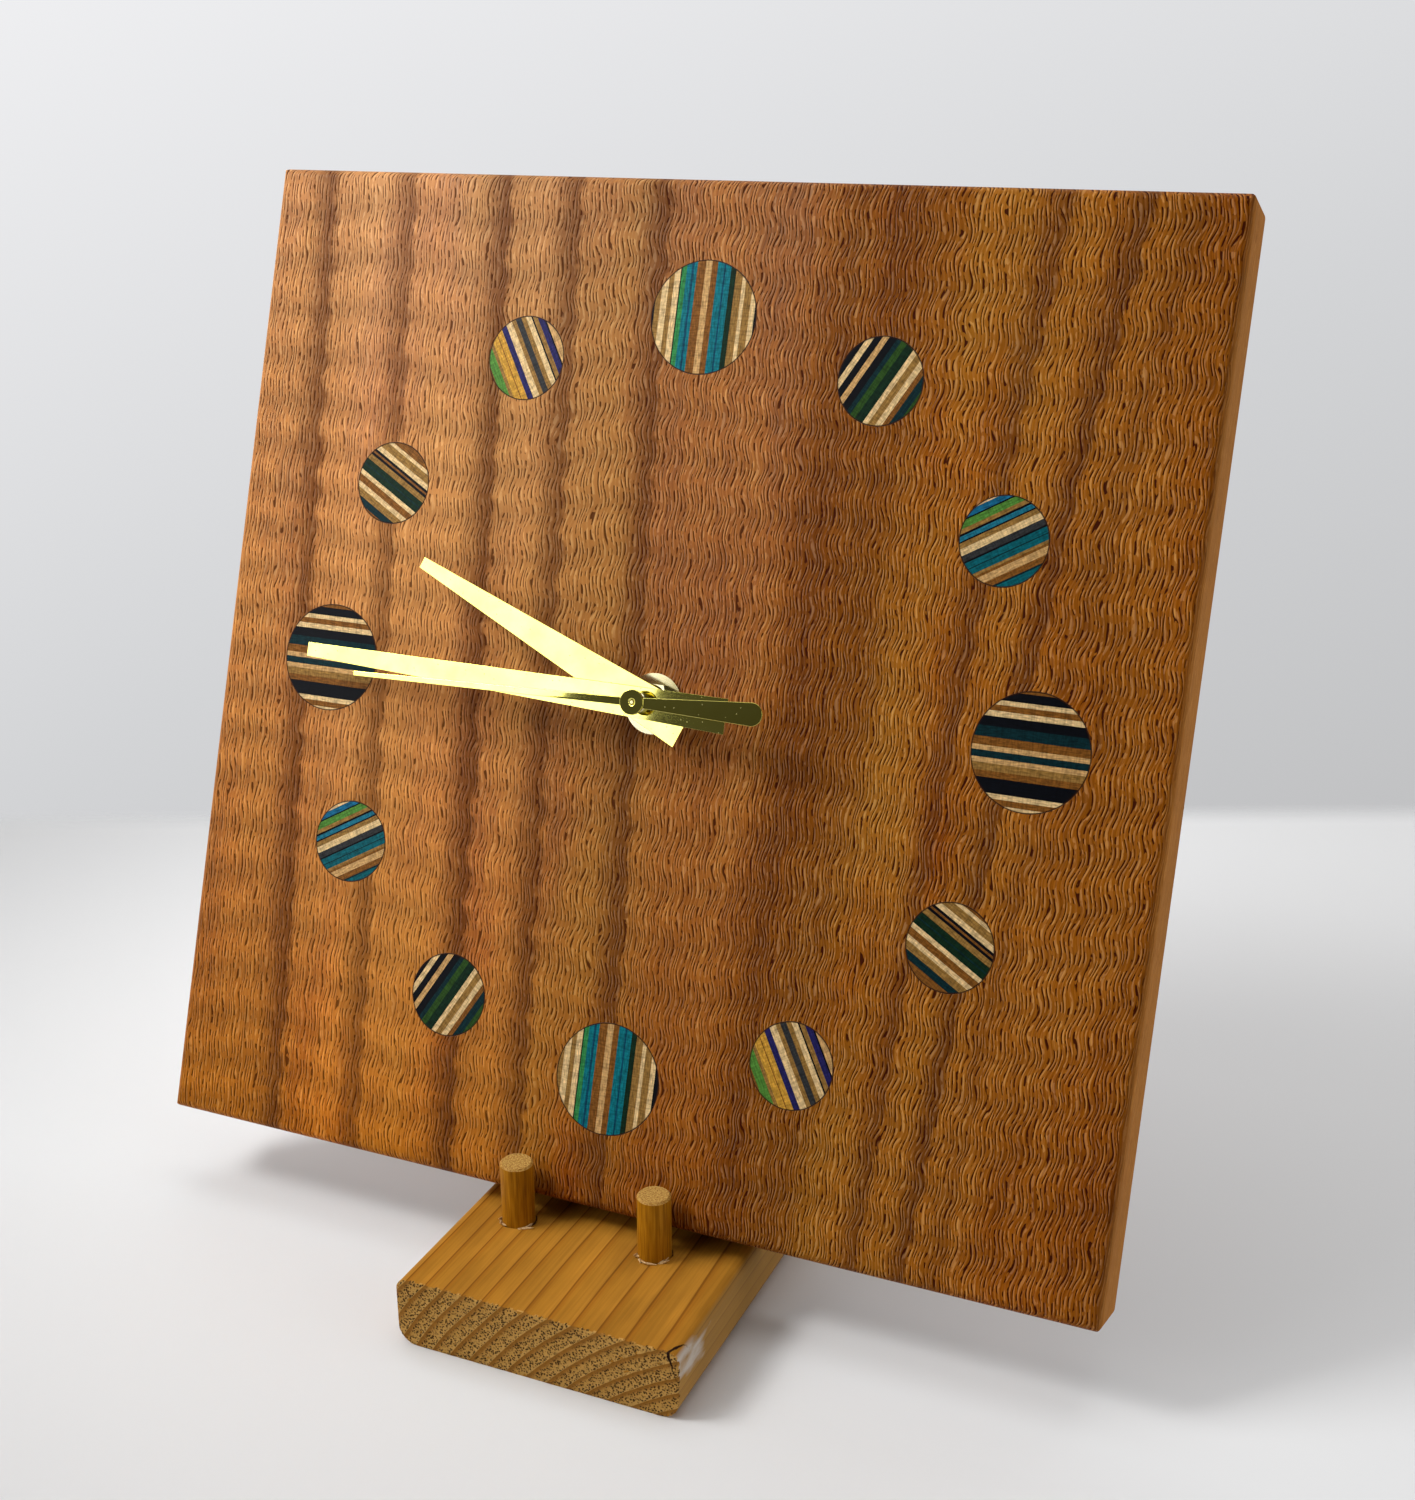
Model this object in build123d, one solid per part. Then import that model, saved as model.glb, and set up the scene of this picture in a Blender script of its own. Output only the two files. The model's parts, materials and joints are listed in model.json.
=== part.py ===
from build123d import *
import os
from math import atan2, cos, pi, radians, sin, sqrt, tan

# Square wooden clock with round striped inlays for hour marks and brass hands, leaning back on an
# offcut block with dowel pegs. Millimetres, with the origin in the middle of the block's underside,
# +X to the right, +Y to the back and +Z up. Clock pieces are drawn with the dial flat: u to the
# right, v up and w out of the dial, from the hub on its face. They are then leaned onto the stand.
# Movement pieces are placed by their depth behind the front of the movement's case.

# Stand block and pegs
block_width = 3.5 * IN
block_length = 6 * IN
block_height = 21.5
block_edge_radius = 3.5
block_foot_radius = 6.0
peg_diameter = 10.0
peg_spacing = 45.0
peg_shift = -3.9
peg_setback = 40.0
peg_sunk_depth = 14.0
peg_chamfer = 0.6
peg_fit = 0.1
front_peg_height = 20.0
rear_peg_height = 3 * IN

# How the clock rests on the stand
lean_angle = 19.0
clock_shift = -4.4
rest_gap = 0.25

# Face board
board_side = 12 * IN
board_thickness = 0.75 * IN
board_edge_radius = 2.8
board_corner_radius = 2.5
hub_drop = 1.3
dial_web = 3.0
pocket_side = 60.0
pocket_corner_radius = 0.25 * IN
bush_hole_clearance = 0.2

# Inlays
hour_count = 12
quarter_step = 3
inlay_edge_margin = 39.75
inlay_drop = 0.6
quarter_inlay_diameter = 33.4
hour_inlay_diameter = 25.4
inlay_depth = 0.25 * IN
inlay_fit = 0.08

# Movement case, cover and inner plate
case_side = 56.0
case_depth = 15.0
case_corner_radius = 3.0
case_wall = 1.2
case_front_wall = 1.2
cover_thickness = 1.2
plate_thickness = 1.0
plate_side_gap = 0.8
plate_margin = 1.2
bay_wall = 1.0
bay_wall_end_gap = 0.8
post_radius = 2.2
post_inset = 2.8
pillar_radius = 1.6
pillar_pin_radius = 0.8
pillar_pin_length = 3.0
pivot_boss_radius = 1.5
pivot_boss_height = 1.6
pivot_hole_floor = 0.3

# Neck, gasket, washer and nut
gasket_thickness = 0.6
gasket_radius = 13.0
bush_radius = 4.0
thread_length = 8.0
bush_flange_radius = 5.5
bush_flange_thickness = 0.6
neck_fit = 0.05
washer_radius = 9.0
washer_thickness = 0.9
nut_sides = 6
nut_across_flats = 11.5
nut_thickness = 2.7
nut_chamfer = 0.9

# Hands: clock angles in degrees from twelve, widths at the tip and at the tail
hand_thickness = 0.4
hand_bore_fit = 0.02
hour_hand_angle = 292.8
hour_hand_height = 7.3
hour_hand_length = 86.0
hour_hand_tail = 14.4
hour_hand_tip_width = 3.6
hour_hand_tail_width = 13.0
hour_collet_radius = 3.6
hour_collet_length = 1.6
minute_hand_angle = 271.3
minute_hand_height = 10.9
minute_hand_length = 114.0
minute_hand_tail = 27.4
minute_hand_tip_width = 4.2
minute_hand_tail_width = 10.2
minute_nut_radius = 3.0
minute_nut_thickness = 1.6
minute_nut_chamfer = 0.3
second_hand_angle = 268.3
second_hand_height = 15.4
second_hand_length = 93.7
second_hand_tail = 40.0
second_needle_tip_width = 1.35
second_needle_hub_width = 2.3
second_tail_width = 2.7
second_tail_end_radius = 3.35
second_boss_radius = 3.65
second_boss_thickness = 0.7
second_boss_sink = 0.6
second_tip_sunk = 0.3
second_collet_radius = 1.3
second_collet_length = 1.9

# Gear train: tooth counts, modules and the directions from one axis to the next, in degrees
tooth_addendum_share = 0.80
tooth_dedendum_share = 1.15
tooth_tip_share = 0.22
tooth_root_share = 0.62
rotor_teeth = 8
intermediate_teeth = 48
intermediate_pinion_teeth = 8
second_teeth = 40
second_pinion_teeth = 8
third_teeth = 60
third_pinion_teeth = 8
minute_teeth = 64
minute_pinion_teeth = 12
motion_teeth = 36
motion_pinion_teeth = 10
hour_teeth = 40
knob_teeth = 12
rotor_module = 0.3
minute_module = 0.3
motion_module = 0.5
third_direction = 150.0
intermediate_direction = 60.0
rotor_direction = 20.0
motion_direction = 30.0
knob_direction = -20.0

# Arbors and layers of the train
running_fit = 0.05
end_shake = 0.1
wheel_thickness = 1.0
layer_gap = 0.6
wall_gap = 0.3
plate_gap = 0.5
hour_tube_radius = 2.5
minute_tube_radius = 1.6
minute_thread_radius = 1.2
minute_hub_radius = 2.0
arbor_radius = 0.5
arbor_hub_radius = 0.8
pivot_radius = 0.4
pivot_length = 1.2
wall_pivot_depth = 0.6
tube_proud = 0.3
magnet_radius = 3.0
magnet_thickness = 2.4
magnet_air_gap = 0.4

# Setting knob
knob_shaft_radius = 1.2
knob_radius = 5.0
knob_thickness = 2.3
knob_hole_gap = 0.3
knob_recess = 0.3
knob_flutes = 12
knob_flute_radius = 0.7
knob_dimple_radius = 1.6
knob_dimple_depth = 0.6

# Motor coil and stator
core_width = 3.0
core_overhang = 3.5
core_thickness = 0.8
stator_thickness = 0.8
stator_ring_radius = 5.2
stator_foot = 3.2
stator_arm_drop = 0.6
stator_seat_wall = 1.0
bobbin_length = 18.0
bobbin_flange_thickness = 0.8
bobbin_flange_height = 8.4
bobbin_flange_depth = 7.0
bobbin_wall = 0.6
bobbin_fit = 0.05
winding_height = 7.4
winding_depth = 6.0
winding_corner_radius = 2.0
coil_margin = 1.0
coil_post_radius = 1.4

# Electronics
circuit_thickness = 0.8
circuit_height = 9.4
circuit_margin = 0.4
circuit_end_gap = 0.1
circuit_standoff = 0.8
circuit_standoff_radius = 1.2
circuit_standoff_inset = 4.0
crystal_radius = 1.0
crystal_length = 6.0
crystal_gap = 0.05
crystal_place_share = -0.75
chip_radius = 3.0
chip_height = 1.2
chip_chamfer = 0.7
chip_place_share = -0.40

# Battery and contacts
cell_radius = 7.25
cell_length = 50.5
cell_nub_radius = 2.75
cell_nub_length = 1.2
cell_chamfer = 0.5
cell_side_gap = 0.3
cell_front_gap = 0.35
bay_slot_gap = 0.4
contact_thickness = 0.4
contact_width = 4.0
contact_gap = 0.2
contact_dimple_radius = 2.4
contact_dimple_height = 0.3
contact_foot_gap = 2.0
contact_tab_height = 2.5
leaf_thickness = 0.3
leaf_half_span = 5.5

# One overrun serves every cut that passes through a face
cut_overrun = 1.0

# Places worked out from the sizes above
lean = radians(lean_angle)
peg_radius = peg_diameter / 2
board_half = board_side / 2
board_middle = (0, hub_drop)
inlay_middle = (0, hub_drop - inlay_drop)
hub_rise = board_half - hub_drop
inlay_ring_radius = board_half - inlay_edge_margin
front_peg_y = peg_setback - block_length / 2
hub_y = (
    front_peg_y + peg_radius + rest_gap
    + board_edge_radius * (1 - cos(lean)) + (hub_rise - board_edge_radius) * sin(lean)
)
hub_z = block_height + rest_gap + hub_rise * cos(lean) + board_thickness * sin(lean)
board_heel_y = hub_y - hub_rise * sin(lean) + board_thickness * cos(lean)
rear_peg_y = (
    board_heel_y + (rear_peg_height - peg_chamfer - rest_gap) * tan(lean)
    + rest_gap / cos(lean) + peg_radius
)
clock_plane = Plane(origin=(clock_shift, hub_y, hub_z), x_dir=(1, 0, 0), z_dir=(0, -cos(lean), sin(lean)))

case_front = -(dial_web + gasket_thickness)
cavity_half = case_side / 2 - case_wall
cavity_corner_radius = case_corner_radius - case_wall
wall_depth = case_depth - cover_thickness
bush_top = case_front + thread_length
bay_top = -cavity_half + 2 * (cell_side_gap + cell_radius)
gear_floor = bay_top + bay_wall

hour_layer = case_front_wall + wall_gap
motion_layer = hour_layer + wheel_thickness + layer_gap
minute_layer = motion_layer + wheel_thickness + layer_gap
plate_depth = minute_layer + wheel_thickness + wall_gap
third_layer = plate_depth + plate_thickness + plate_gap
second_layer = third_layer + wheel_thickness + layer_gap
intermediate_layer = second_layer + wheel_thickness + layer_gap
boss_depth = wall_depth - pivot_boss_height
plate_back = plate_depth + plate_thickness

train_distance = rotor_module * (rotor_teeth + intermediate_teeth) / 2
second_module = 2 * train_distance / (intermediate_pinion_teeth + second_teeth)
third_distance = minute_module * (third_pinion_teeth + minute_teeth) / 2
third_module = 2 * third_distance / (second_pinion_teeth + third_teeth)
motion_distance = motion_module * (minute_pinion_teeth + motion_teeth) / 2
hour_module = 2 * motion_distance / (motion_pinion_teeth + hour_teeth)
knob_distance = motion_module * (motion_teeth + knob_teeth) / 2


def step_from(start, distance, direction):
    """The point at a distance from another, in a direction in degrees from +u."""
    angle = radians(direction)
    return (start[0] + distance * cos(angle), start[1] + distance * sin(angle))


centre_axis = (0, 0)
third_axis = step_from(centre_axis, third_distance, third_direction)
intermediate_axis = step_from(centre_axis, train_distance, intermediate_direction)
rotor_axis = step_from(intermediate_axis, train_distance, rotor_direction)
motion_axis = step_from(centre_axis, motion_distance, motion_direction)
knob_axis = step_from(motion_axis, knob_distance, knob_direction)

coil_v = cavity_half - coil_margin - bobbin_flange_height / 2
core_length = bobbin_length + 2 * core_overhang
coil_foot_offset = (core_length - stator_foot) / 2
plate_top = coil_v - bobbin_flange_height / 2 - plate_margin
plate_half_width = cavity_half - plate_side_gap
post_u = cavity_half - post_inset
post_low_v = gear_floor + post_inset
post_high_v = plate_top - post_inset
post_places = [(side * post_u, v) for side in (-1, 1) for v in (post_low_v, post_high_v)]

magnet_depth = plate_back + (intermediate_layer - plate_back - magnet_thickness) / 2
stator_depth = magnet_depth + (magnet_thickness - stator_thickness) / 2
core_depth = stator_depth - core_thickness
coil_depth = core_depth + core_thickness / 2
circuit_depth = wall_depth - circuit_standoff - circuit_thickness
circuit_v = cavity_half - circuit_margin - circuit_height / 2
circuit_half_width = cavity_half - circuit_end_gap

cell_v = -cavity_half + cell_side_gap + cell_radius
cell_depth = cell_front_gap + cell_radius
cell_tip_u = cavity_half - contact_thickness - contact_dimple_height - contact_gap
cell_base_u = cell_tip_u - cell_length
slot_half_height = sqrt(cell_radius**2 - (cell_depth - case_front_wall) ** 2) + bay_slot_gap


# Small builders shared by the pieces
def rod(radius, low, high, middle=centre_axis):
    """A round bar along w between two heights."""
    bar = Cylinder(radius, high - low, align=(Align.CENTER, Align.CENTER, Align.MIN))
    return Pos(middle[0], middle[1], low) * bar


def slab(outline, low, high, middle=centre_axis):
    """A flat outline thickened between two heights along w."""
    return Pos(middle[0], middle[1], low) * extrude(outline, amount=high - low, dir=(0, 0, 1))


def outline_of(points):
    """A flat face inside straight edges."""
    return make_face(Polyline(*points, close=True))


def shaft(radius, near, far, middle=centre_axis):
    """A round bar between two depths behind the front of the movement's case."""
    return rod(radius, case_front - far, case_front - near, middle)


def sheet(outline, near, far, middle=centre_axis):
    """A flat outline thickened between two depths behind the front of the movement's case."""
    return slab(outline, case_front - far, case_front - near, middle)


def gear_outline(teeth, module, tooth_angle):
    """Straight-flanked teeth round a pitch circle, with one tooth on the given angle in radians."""
    pitch = 2 * pi / teeth
    pitch_radius = module * teeth / 2
    tip_radius = pitch_radius + tooth_addendum_share * module
    root_radius = pitch_radius - tooth_dedendum_share * module
    tip_angle = tooth_tip_share * pitch / 2 * pitch_radius / tip_radius
    root_angle = tooth_root_share * pitch / 2
    corners = (
        (root_radius, -root_angle), (tip_radius, -tip_angle),
        (tip_radius, tip_angle), (root_radius, root_angle),
    )
    points = []
    for tooth in range(teeth):
        middle = tooth_angle + tooth * pitch
        for radius, offset in corners:
            points.append((radius * cos(middle + offset), radius * sin(middle + offset)))
    return outline_of(points)


def gear(teeth, module, layer, axis, tooth_angle=0):
    """A toothed disc that fills one layer of the train."""
    return sheet(gear_outline(teeth, module, tooth_angle), layer, layer + wheel_thickness, axis)


def meshed(axis, teeth, tooth_angle, other_axis, other_teeth):
    """The tooth angle that puts a second gear in mesh with the first."""
    line = atan2(other_axis[1] - axis[1], other_axis[0] - axis[0])
    gap = line + pi - (tooth_angle - line) * teeth / other_teeth
    return gap + pi / other_teeth


def turned(piece, clock_angle):
    """A hand drawn at twelve, turned clockwise to its place."""
    return Rot(0, 0, -clock_angle) * piece


# Stand
def stand_block():
    block = Pos(0, 0, block_height / 2) * Box(block_width, block_length, block_height)
    block = fillet(block.edges().filter_by(Axis.Y).group_by(Axis.Z)[-1], block_edge_radius)
    block = fillet(block.edges().filter_by(Axis.Y).group_by(Axis.Z)[0], block_foot_radius)
    low, high = block_height - peg_sunk_depth, block_height + cut_overrun
    for x in peg_x_places():
        for y in (front_peg_y, rear_peg_y):
            block -= rod(peg_radius + peg_fit, low, high, (x, y))
    return block


def peg_x_places():
    return (peg_shift - peg_spacing / 2, peg_shift + peg_spacing / 2)


def peg(x, y, height):
    dowel = rod(peg_radius, block_height - peg_sunk_depth, block_height + height, (x, y))
    return chamfer(dowel.edges().sort_by(Axis.Z)[-1], peg_chamfer)


# Face board and inlays
def inlay_radius(hour):
    diameter = hour_inlay_diameter if hour % quarter_step else quarter_inlay_diameter
    return diameter / 2


def inlay_place(hour):
    angle = 2 * pi * hour / hour_count
    return (
        inlay_middle[0] + inlay_ring_radius * sin(angle), inlay_middle[1] + inlay_ring_radius * cos(angle)
    )


def face_board():
    eased = slab(Rectangle(board_side, board_side), -board_thickness, 0, board_middle)
    eased = fillet(eased.faces().sort_by(Axis.Z)[-1].edges(), board_edge_radius)
    outline = RectangleRounded(board_side, board_side, board_corner_radius)
    board = eased & slab(outline, -board_thickness, 0, board_middle)
    pocket = RectangleRounded(pocket_side, pocket_side, pocket_corner_radius)
    board -= slab(pocket, -board_thickness - cut_overrun, -dial_web)
    board -= rod(bush_radius + bush_hole_clearance, -board_thickness, cut_overrun)
    for hour in range(1, hour_count + 1):
        board -= rod(inlay_radius(hour) + inlay_fit, -inlay_depth, cut_overrun, inlay_place(hour))
    return board


def inlay(hour):
    return rod(inlay_radius(hour), -inlay_depth, 0, inlay_place(hour))


# Movement case
def movement_case():
    case = sheet(RectangleRounded(case_side, case_side, case_corner_radius), 0, wall_depth)
    cavity = RectangleRounded(2 * cavity_half, 2 * cavity_half, cavity_corner_radius)
    case -= sheet(cavity, case_front_wall, wall_depth + cut_overrun)
    partition = Rectangle(2 * (cavity_half - bay_wall_end_gap), bay_wall)
    case += sheet(partition, case_front_wall, wall_depth, (0, bay_top + bay_wall / 2))
    for place in post_places:
        case += shaft(post_radius, case_front_wall, plate_depth, place)
        case -= shaft(pillar_pin_radius + running_fit, plate_depth - pillar_pin_length, plate_depth, place)
    for side in (-1, 1):
        coil_foot = (rotor_axis[0] + side * coil_foot_offset, coil_v)
        case += shaft(coil_post_radius, case_front_wall, core_depth, coil_foot)
    case -= shaft(bush_radius + neck_fit, -cut_overrun, case_front_wall)
    flange_seat = case_front_wall - bush_flange_thickness
    case -= shaft(bush_flange_radius + neck_fit, flange_seat, case_front_wall)
    slot = Rectangle(2 * (cavity_half - contact_thickness), 2 * slot_half_height)
    case -= sheet(slot, -cut_overrun, case_front_wall, (0, cell_v))
    for axis in (motion_axis, knob_axis):
        case -= shaft(pivot_radius + running_fit, case_front_wall - wall_pivot_depth, case_front_wall, axis)
    return case


def train_plate():
    height = plate_top - gear_floor - running_fit
    middle = (0, (plate_top + gear_floor + running_fit) / 2)
    plate = sheet(Rectangle(2 * plate_half_width, height), plate_depth, plate_back, middle)
    magnet_bore = magnet_radius + magnet_air_gap
    plate += shaft(magnet_bore + stator_seat_wall, plate_back, stator_depth, rotor_axis)
    plate -= shaft(magnet_bore, plate_back, stator_depth, rotor_axis)
    for axis in (centre_axis, third_axis):
        plate -= shaft(arbor_radius + running_fit, plate_depth, plate_back, axis)
    for axis in (motion_axis, intermediate_axis, rotor_axis):
        plate -= shaft(pivot_radius + running_fit, plate_depth, plate_back, axis)
    plate -= shaft(knob_shaft_radius + running_fit, plate_depth, plate_back, knob_axis)
    for place in post_places:
        plate -= shaft(pillar_pin_radius + running_fit, plate_depth, plate_back, place)
    return plate


def movement_back_cover():
    height = case_side / 2 - bay_top
    middle = (0, (case_side / 2 + bay_top) / 2)
    cover = sheet(RectangleRounded(case_side, height, case_corner_radius), wall_depth, case_depth, middle)
    for place in post_places:
        cover += shaft(pillar_radius, plate_back, wall_depth, place)
        cover += shaft(pillar_pin_radius, plate_depth - pillar_pin_length, plate_back, place)
    for axis in (centre_axis, third_axis, intermediate_axis, rotor_axis):
        cover += shaft(pivot_boss_radius, boss_depth, wall_depth, axis)
        cover -= shaft(pivot_radius + running_fit, boss_depth, wall_depth - pivot_hole_floor, axis)
    standoff_u = circuit_half_width - circuit_standoff_inset
    for side in (-1, 1):
        standoff_place = (side * standoff_u, circuit_v)
        cover += shaft(circuit_standoff_radius, wall_depth - circuit_standoff, wall_depth, standoff_place)
    cover -= shaft(knob_radius + knob_hole_gap, wall_depth, case_depth + cut_overrun, knob_axis)
    return cover


# Neck and its fixings
def threaded_bush():
    bush = shaft(bush_flange_radius, case_front_wall - bush_flange_thickness, case_front_wall)
    bush += rod(bush_radius, case_front - case_front_wall, bush_top)
    return bush - rod(hour_tube_radius + running_fit, case_front - case_front_wall, bush_top)


def dial_gasket():
    ring = shaft(gasket_radius, -gasket_thickness, 0)
    return ring - shaft(bush_radius + bush_hole_clearance, -gasket_thickness, 0)


def dial_washer():
    ring = rod(washer_radius, 0, washer_thickness)
    return ring - rod(bush_radius + bush_hole_clearance, 0, washer_thickness)


def dial_nut():
    top = washer_thickness + nut_thickness
    flats = RegularPolygon(nut_across_flats / 2, nut_sides, major_radius=False)
    crown = rod(nut_across_flats / 2 / cos(pi / nut_sides), washer_thickness, top)
    crown = chamfer(crown.edges().sort_by(Axis.Z)[-1], nut_chamfer)
    nut = slab(flats, washer_thickness, top) & crown
    return nut - rod(bush_radius + neck_fit, washer_thickness, top)


# Hands
def blade(length, tail, tip_width, tail_width, height):
    tip, end = tip_width / 2, tail_width / 2
    corners = ((-tip, length), (tip, length), (end, -tail), (-end, -tail))
    return slab(outline_of(corners), height, height + hand_thickness)


def hour_hand():
    hand = blade(
        hour_hand_length, hour_hand_tail, hour_hand_tip_width, hour_hand_tail_width, hour_hand_height
    )
    hand += rod(hour_collet_radius, hour_hand_height - hour_collet_length, hour_hand_height)
    bore = hour_tube_radius + hand_bore_fit
    hand -= rod(bore, hour_hand_height - hour_collet_length, hour_hand_height + hand_thickness)
    return turned(hand, hour_hand_angle)


def minute_hand():
    hand = blade(
        minute_hand_length, minute_hand_tail, minute_hand_tip_width, minute_hand_tail_width,
        minute_hand_height,
    )
    bore = minute_thread_radius + hand_bore_fit
    hand -= rod(bore, minute_hand_height, minute_hand_height + hand_thickness)
    return turned(hand, minute_hand_angle)


def minute_nut():
    low = minute_hand_height + hand_thickness
    nut = rod(minute_nut_radius, low, low + minute_nut_thickness)
    nut = chamfer(nut.edges().sort_by(Axis.Z)[-1], minute_nut_chamfer)
    return nut - rod(minute_thread_radius + hand_bore_fit, low, low + minute_nut_thickness)


def second_hand():
    low, high = second_hand_height, second_hand_height + hand_thickness
    tip, root = second_needle_tip_width / 2, second_needle_hub_width / 2
    needle = ((-tip, second_hand_length), (tip, second_hand_length), (root, 0), (-root, 0))
    hand = slab(outline_of(needle), low, high)
    tail_end = second_hand_tail - second_tail_end_radius
    neck, end = second_tail_width / 2, second_tail_end_radius
    tail = ((-neck, 0), (neck, 0), (end, -tail_end), (-end, -tail_end))
    hand += slab(outline_of(tail), low, high)
    hand += rod(second_tail_end_radius, low, high, (0, -tail_end))
    top = high + second_boss_thickness
    hand += rod(second_boss_radius, low, top)
    hand += rod(second_collet_radius, low - second_collet_length, low)
    bore = arbor_radius + hand_bore_fit
    hand -= rod(bore, low - second_collet_length, top)
    sink_align = (Align.CENTER, Align.CENTER, Align.MAX)
    sink = Cone(bore, bore + second_boss_sink, second_boss_sink, align=sink_align)
    return turned(hand - Pos(0, 0, top) * sink, second_hand_angle)


# Gear train
def arbor_to_cover(axis, near):
    """A slim arbor from a depth back to the cover, with its pivot in the cover's boss."""
    bar = shaft(arbor_radius, near, boss_depth - end_shake, axis)
    return bar + shaft(pivot_radius, boss_depth - end_shake, boss_depth + pivot_length, axis)


def pivot_in_plate(axis):
    """The front pivot of an arbor that stands on the inner plate, with its shoulder."""
    pivot = shaft(pivot_radius, plate_depth + end_shake, plate_back + end_shake, axis)
    return pivot + shaft(arbor_radius, plate_back + end_shake, second_layer, axis)


def hour_wheel():
    wheel_angle = meshed(motion_axis, motion_pinion_teeth, 0, centre_axis, hour_teeth)
    wheel = gear(hour_teeth, hour_module, hour_layer, centre_axis, wheel_angle)
    low, high = case_front - hour_layer - wheel_thickness, hour_hand_height + hand_thickness + tube_proud
    wheel += rod(hour_tube_radius, low, high)
    return wheel - rod(minute_tube_radius + running_fit, low, high)


def minute_wheel():
    wheel_angle = meshed(third_axis, third_pinion_teeth, 0, centre_axis, minute_teeth)
    wheel = gear(minute_teeth, minute_module, minute_layer, centre_axis, wheel_angle)
    wheel += gear(minute_pinion_teeth, motion_module, motion_layer, centre_axis)
    wheel += shaft(minute_hub_radius, motion_layer, plate_depth - end_shake)
    wheel += rod(minute_tube_radius, case_front - motion_layer, minute_hand_height)
    top = minute_hand_height + hand_thickness + minute_nut_thickness + tube_proud
    wheel += rod(minute_thread_radius, minute_hand_height, top)
    return wheel - rod(arbor_radius + running_fit, case_front - plate_depth, top)


def second_wheel():
    wheel_angle = meshed(intermediate_axis, intermediate_pinion_teeth, 0, centre_axis, second_teeth)
    wheel = gear(second_teeth, second_module, second_layer, centre_axis, wheel_angle)
    wheel += gear(second_pinion_teeth, third_module, third_layer, centre_axis)
    wheel += shaft(arbor_hub_radius, third_layer, second_layer)
    wheel += arbor_to_cover(centre_axis, second_layer)
    tip = second_hand_height + hand_thickness + second_boss_thickness - second_tip_sunk
    return wheel + rod(arbor_radius, case_front - second_layer, tip)


def third_wheel():
    wheel_angle = meshed(centre_axis, second_pinion_teeth, 0, third_axis, third_teeth)
    wheel = gear(third_teeth, third_module, third_layer, third_axis, wheel_angle)
    wheel += gear(third_pinion_teeth, minute_module, minute_layer, third_axis)
    return wheel + arbor_to_cover(third_axis, minute_layer)


def intermediate_wheel():
    wheel_angle = meshed(rotor_axis, rotor_teeth, 0, intermediate_axis, intermediate_teeth)
    wheel = gear(intermediate_teeth, rotor_module, intermediate_layer, intermediate_axis, wheel_angle)
    wheel += gear(intermediate_pinion_teeth, second_module, second_layer, intermediate_axis)
    wheel += shaft(arbor_hub_radius, second_layer, intermediate_layer, intermediate_axis)
    return wheel + pivot_in_plate(intermediate_axis) + arbor_to_cover(intermediate_axis, second_layer)


def rotor_pinion():
    pinion = gear(rotor_teeth, rotor_module, intermediate_layer, rotor_axis)
    pinion += shaft(arbor_hub_radius, magnet_depth, intermediate_layer, rotor_axis)
    return pinion + pivot_in_plate(rotor_axis) + arbor_to_cover(rotor_axis, second_layer)


def rotor():
    near, far = magnet_depth, magnet_depth + magnet_thickness
    magnet = shaft(magnet_radius, near, far, rotor_axis)
    return magnet - shaft(arbor_hub_radius + hand_bore_fit, near, far, rotor_axis)


def motion_wheel_angle():
    return meshed(centre_axis, minute_pinion_teeth, 0, motion_axis, motion_teeth)


def motion_wheel():
    wheel = gear(motion_teeth, motion_module, motion_layer, motion_axis, motion_wheel_angle())
    wheel += gear(motion_pinion_teeth, hour_module, hour_layer, motion_axis)
    wheel += shaft(arbor_hub_radius, case_front_wall + end_shake, plate_depth - end_shake, motion_axis)
    front_pivot = case_front_wall - wall_pivot_depth + end_shake
    return wheel + shaft(pivot_radius, front_pivot, plate_back - end_shake, motion_axis)


def setting_knob():
    pinion_angle = meshed(motion_axis, motion_teeth, motion_wheel_angle(), knob_axis, knob_teeth)
    knob = gear(knob_teeth, motion_module, motion_layer, knob_axis, pinion_angle)
    head_far = case_depth - knob_recess
    head_near = head_far - knob_thickness
    knob += shaft(knob_shaft_radius, case_front_wall + end_shake, head_near, knob_axis)
    knob += shaft(pivot_radius, case_front_wall - wall_pivot_depth + end_shake, hour_layer, knob_axis)
    knob += shaft(knob_radius, head_near, head_far, knob_axis)
    for flute in range(knob_flutes):
        place = step_from(knob_axis, knob_radius, 360 * flute / knob_flutes)
        knob -= shaft(knob_flute_radius, head_near, head_far, place)
    return knob - shaft(knob_dimple_radius, head_far - knob_dimple_depth, head_far, knob_axis)


# Motor
def stator():
    foot_top = coil_v + core_width / 2
    shoulder = coil_v - bobbin_flange_height / 2 - stator_arm_drop
    ring_u, ring_v = rotor_axis
    plate = sheet(Circle(stator_ring_radius), stator_depth, stator_depth + stator_thickness, rotor_axis)
    for side in (-1, 1):
        outer = ring_u + side * core_length / 2
        inner = outer - side * stator_foot
        arm = (
            (outer, foot_top),
            (inner, foot_top),
            (inner, shoulder),
            (ring_u, ring_v + stator_ring_radius),
            (ring_u + side * stator_ring_radius, ring_v),
            (outer, shoulder),
        )
        plate += sheet(outline_of(arm), stator_depth, stator_depth + stator_thickness)
    bore = magnet_radius + magnet_air_gap
    return plate - shaft(bore, stator_depth, stator_depth + stator_thickness, rotor_axis)


def coil_core():
    outline = Rectangle(core_length, core_width)
    return sheet(outline, core_depth, core_depth + core_thickness, (rotor_axis[0], coil_v))


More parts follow.
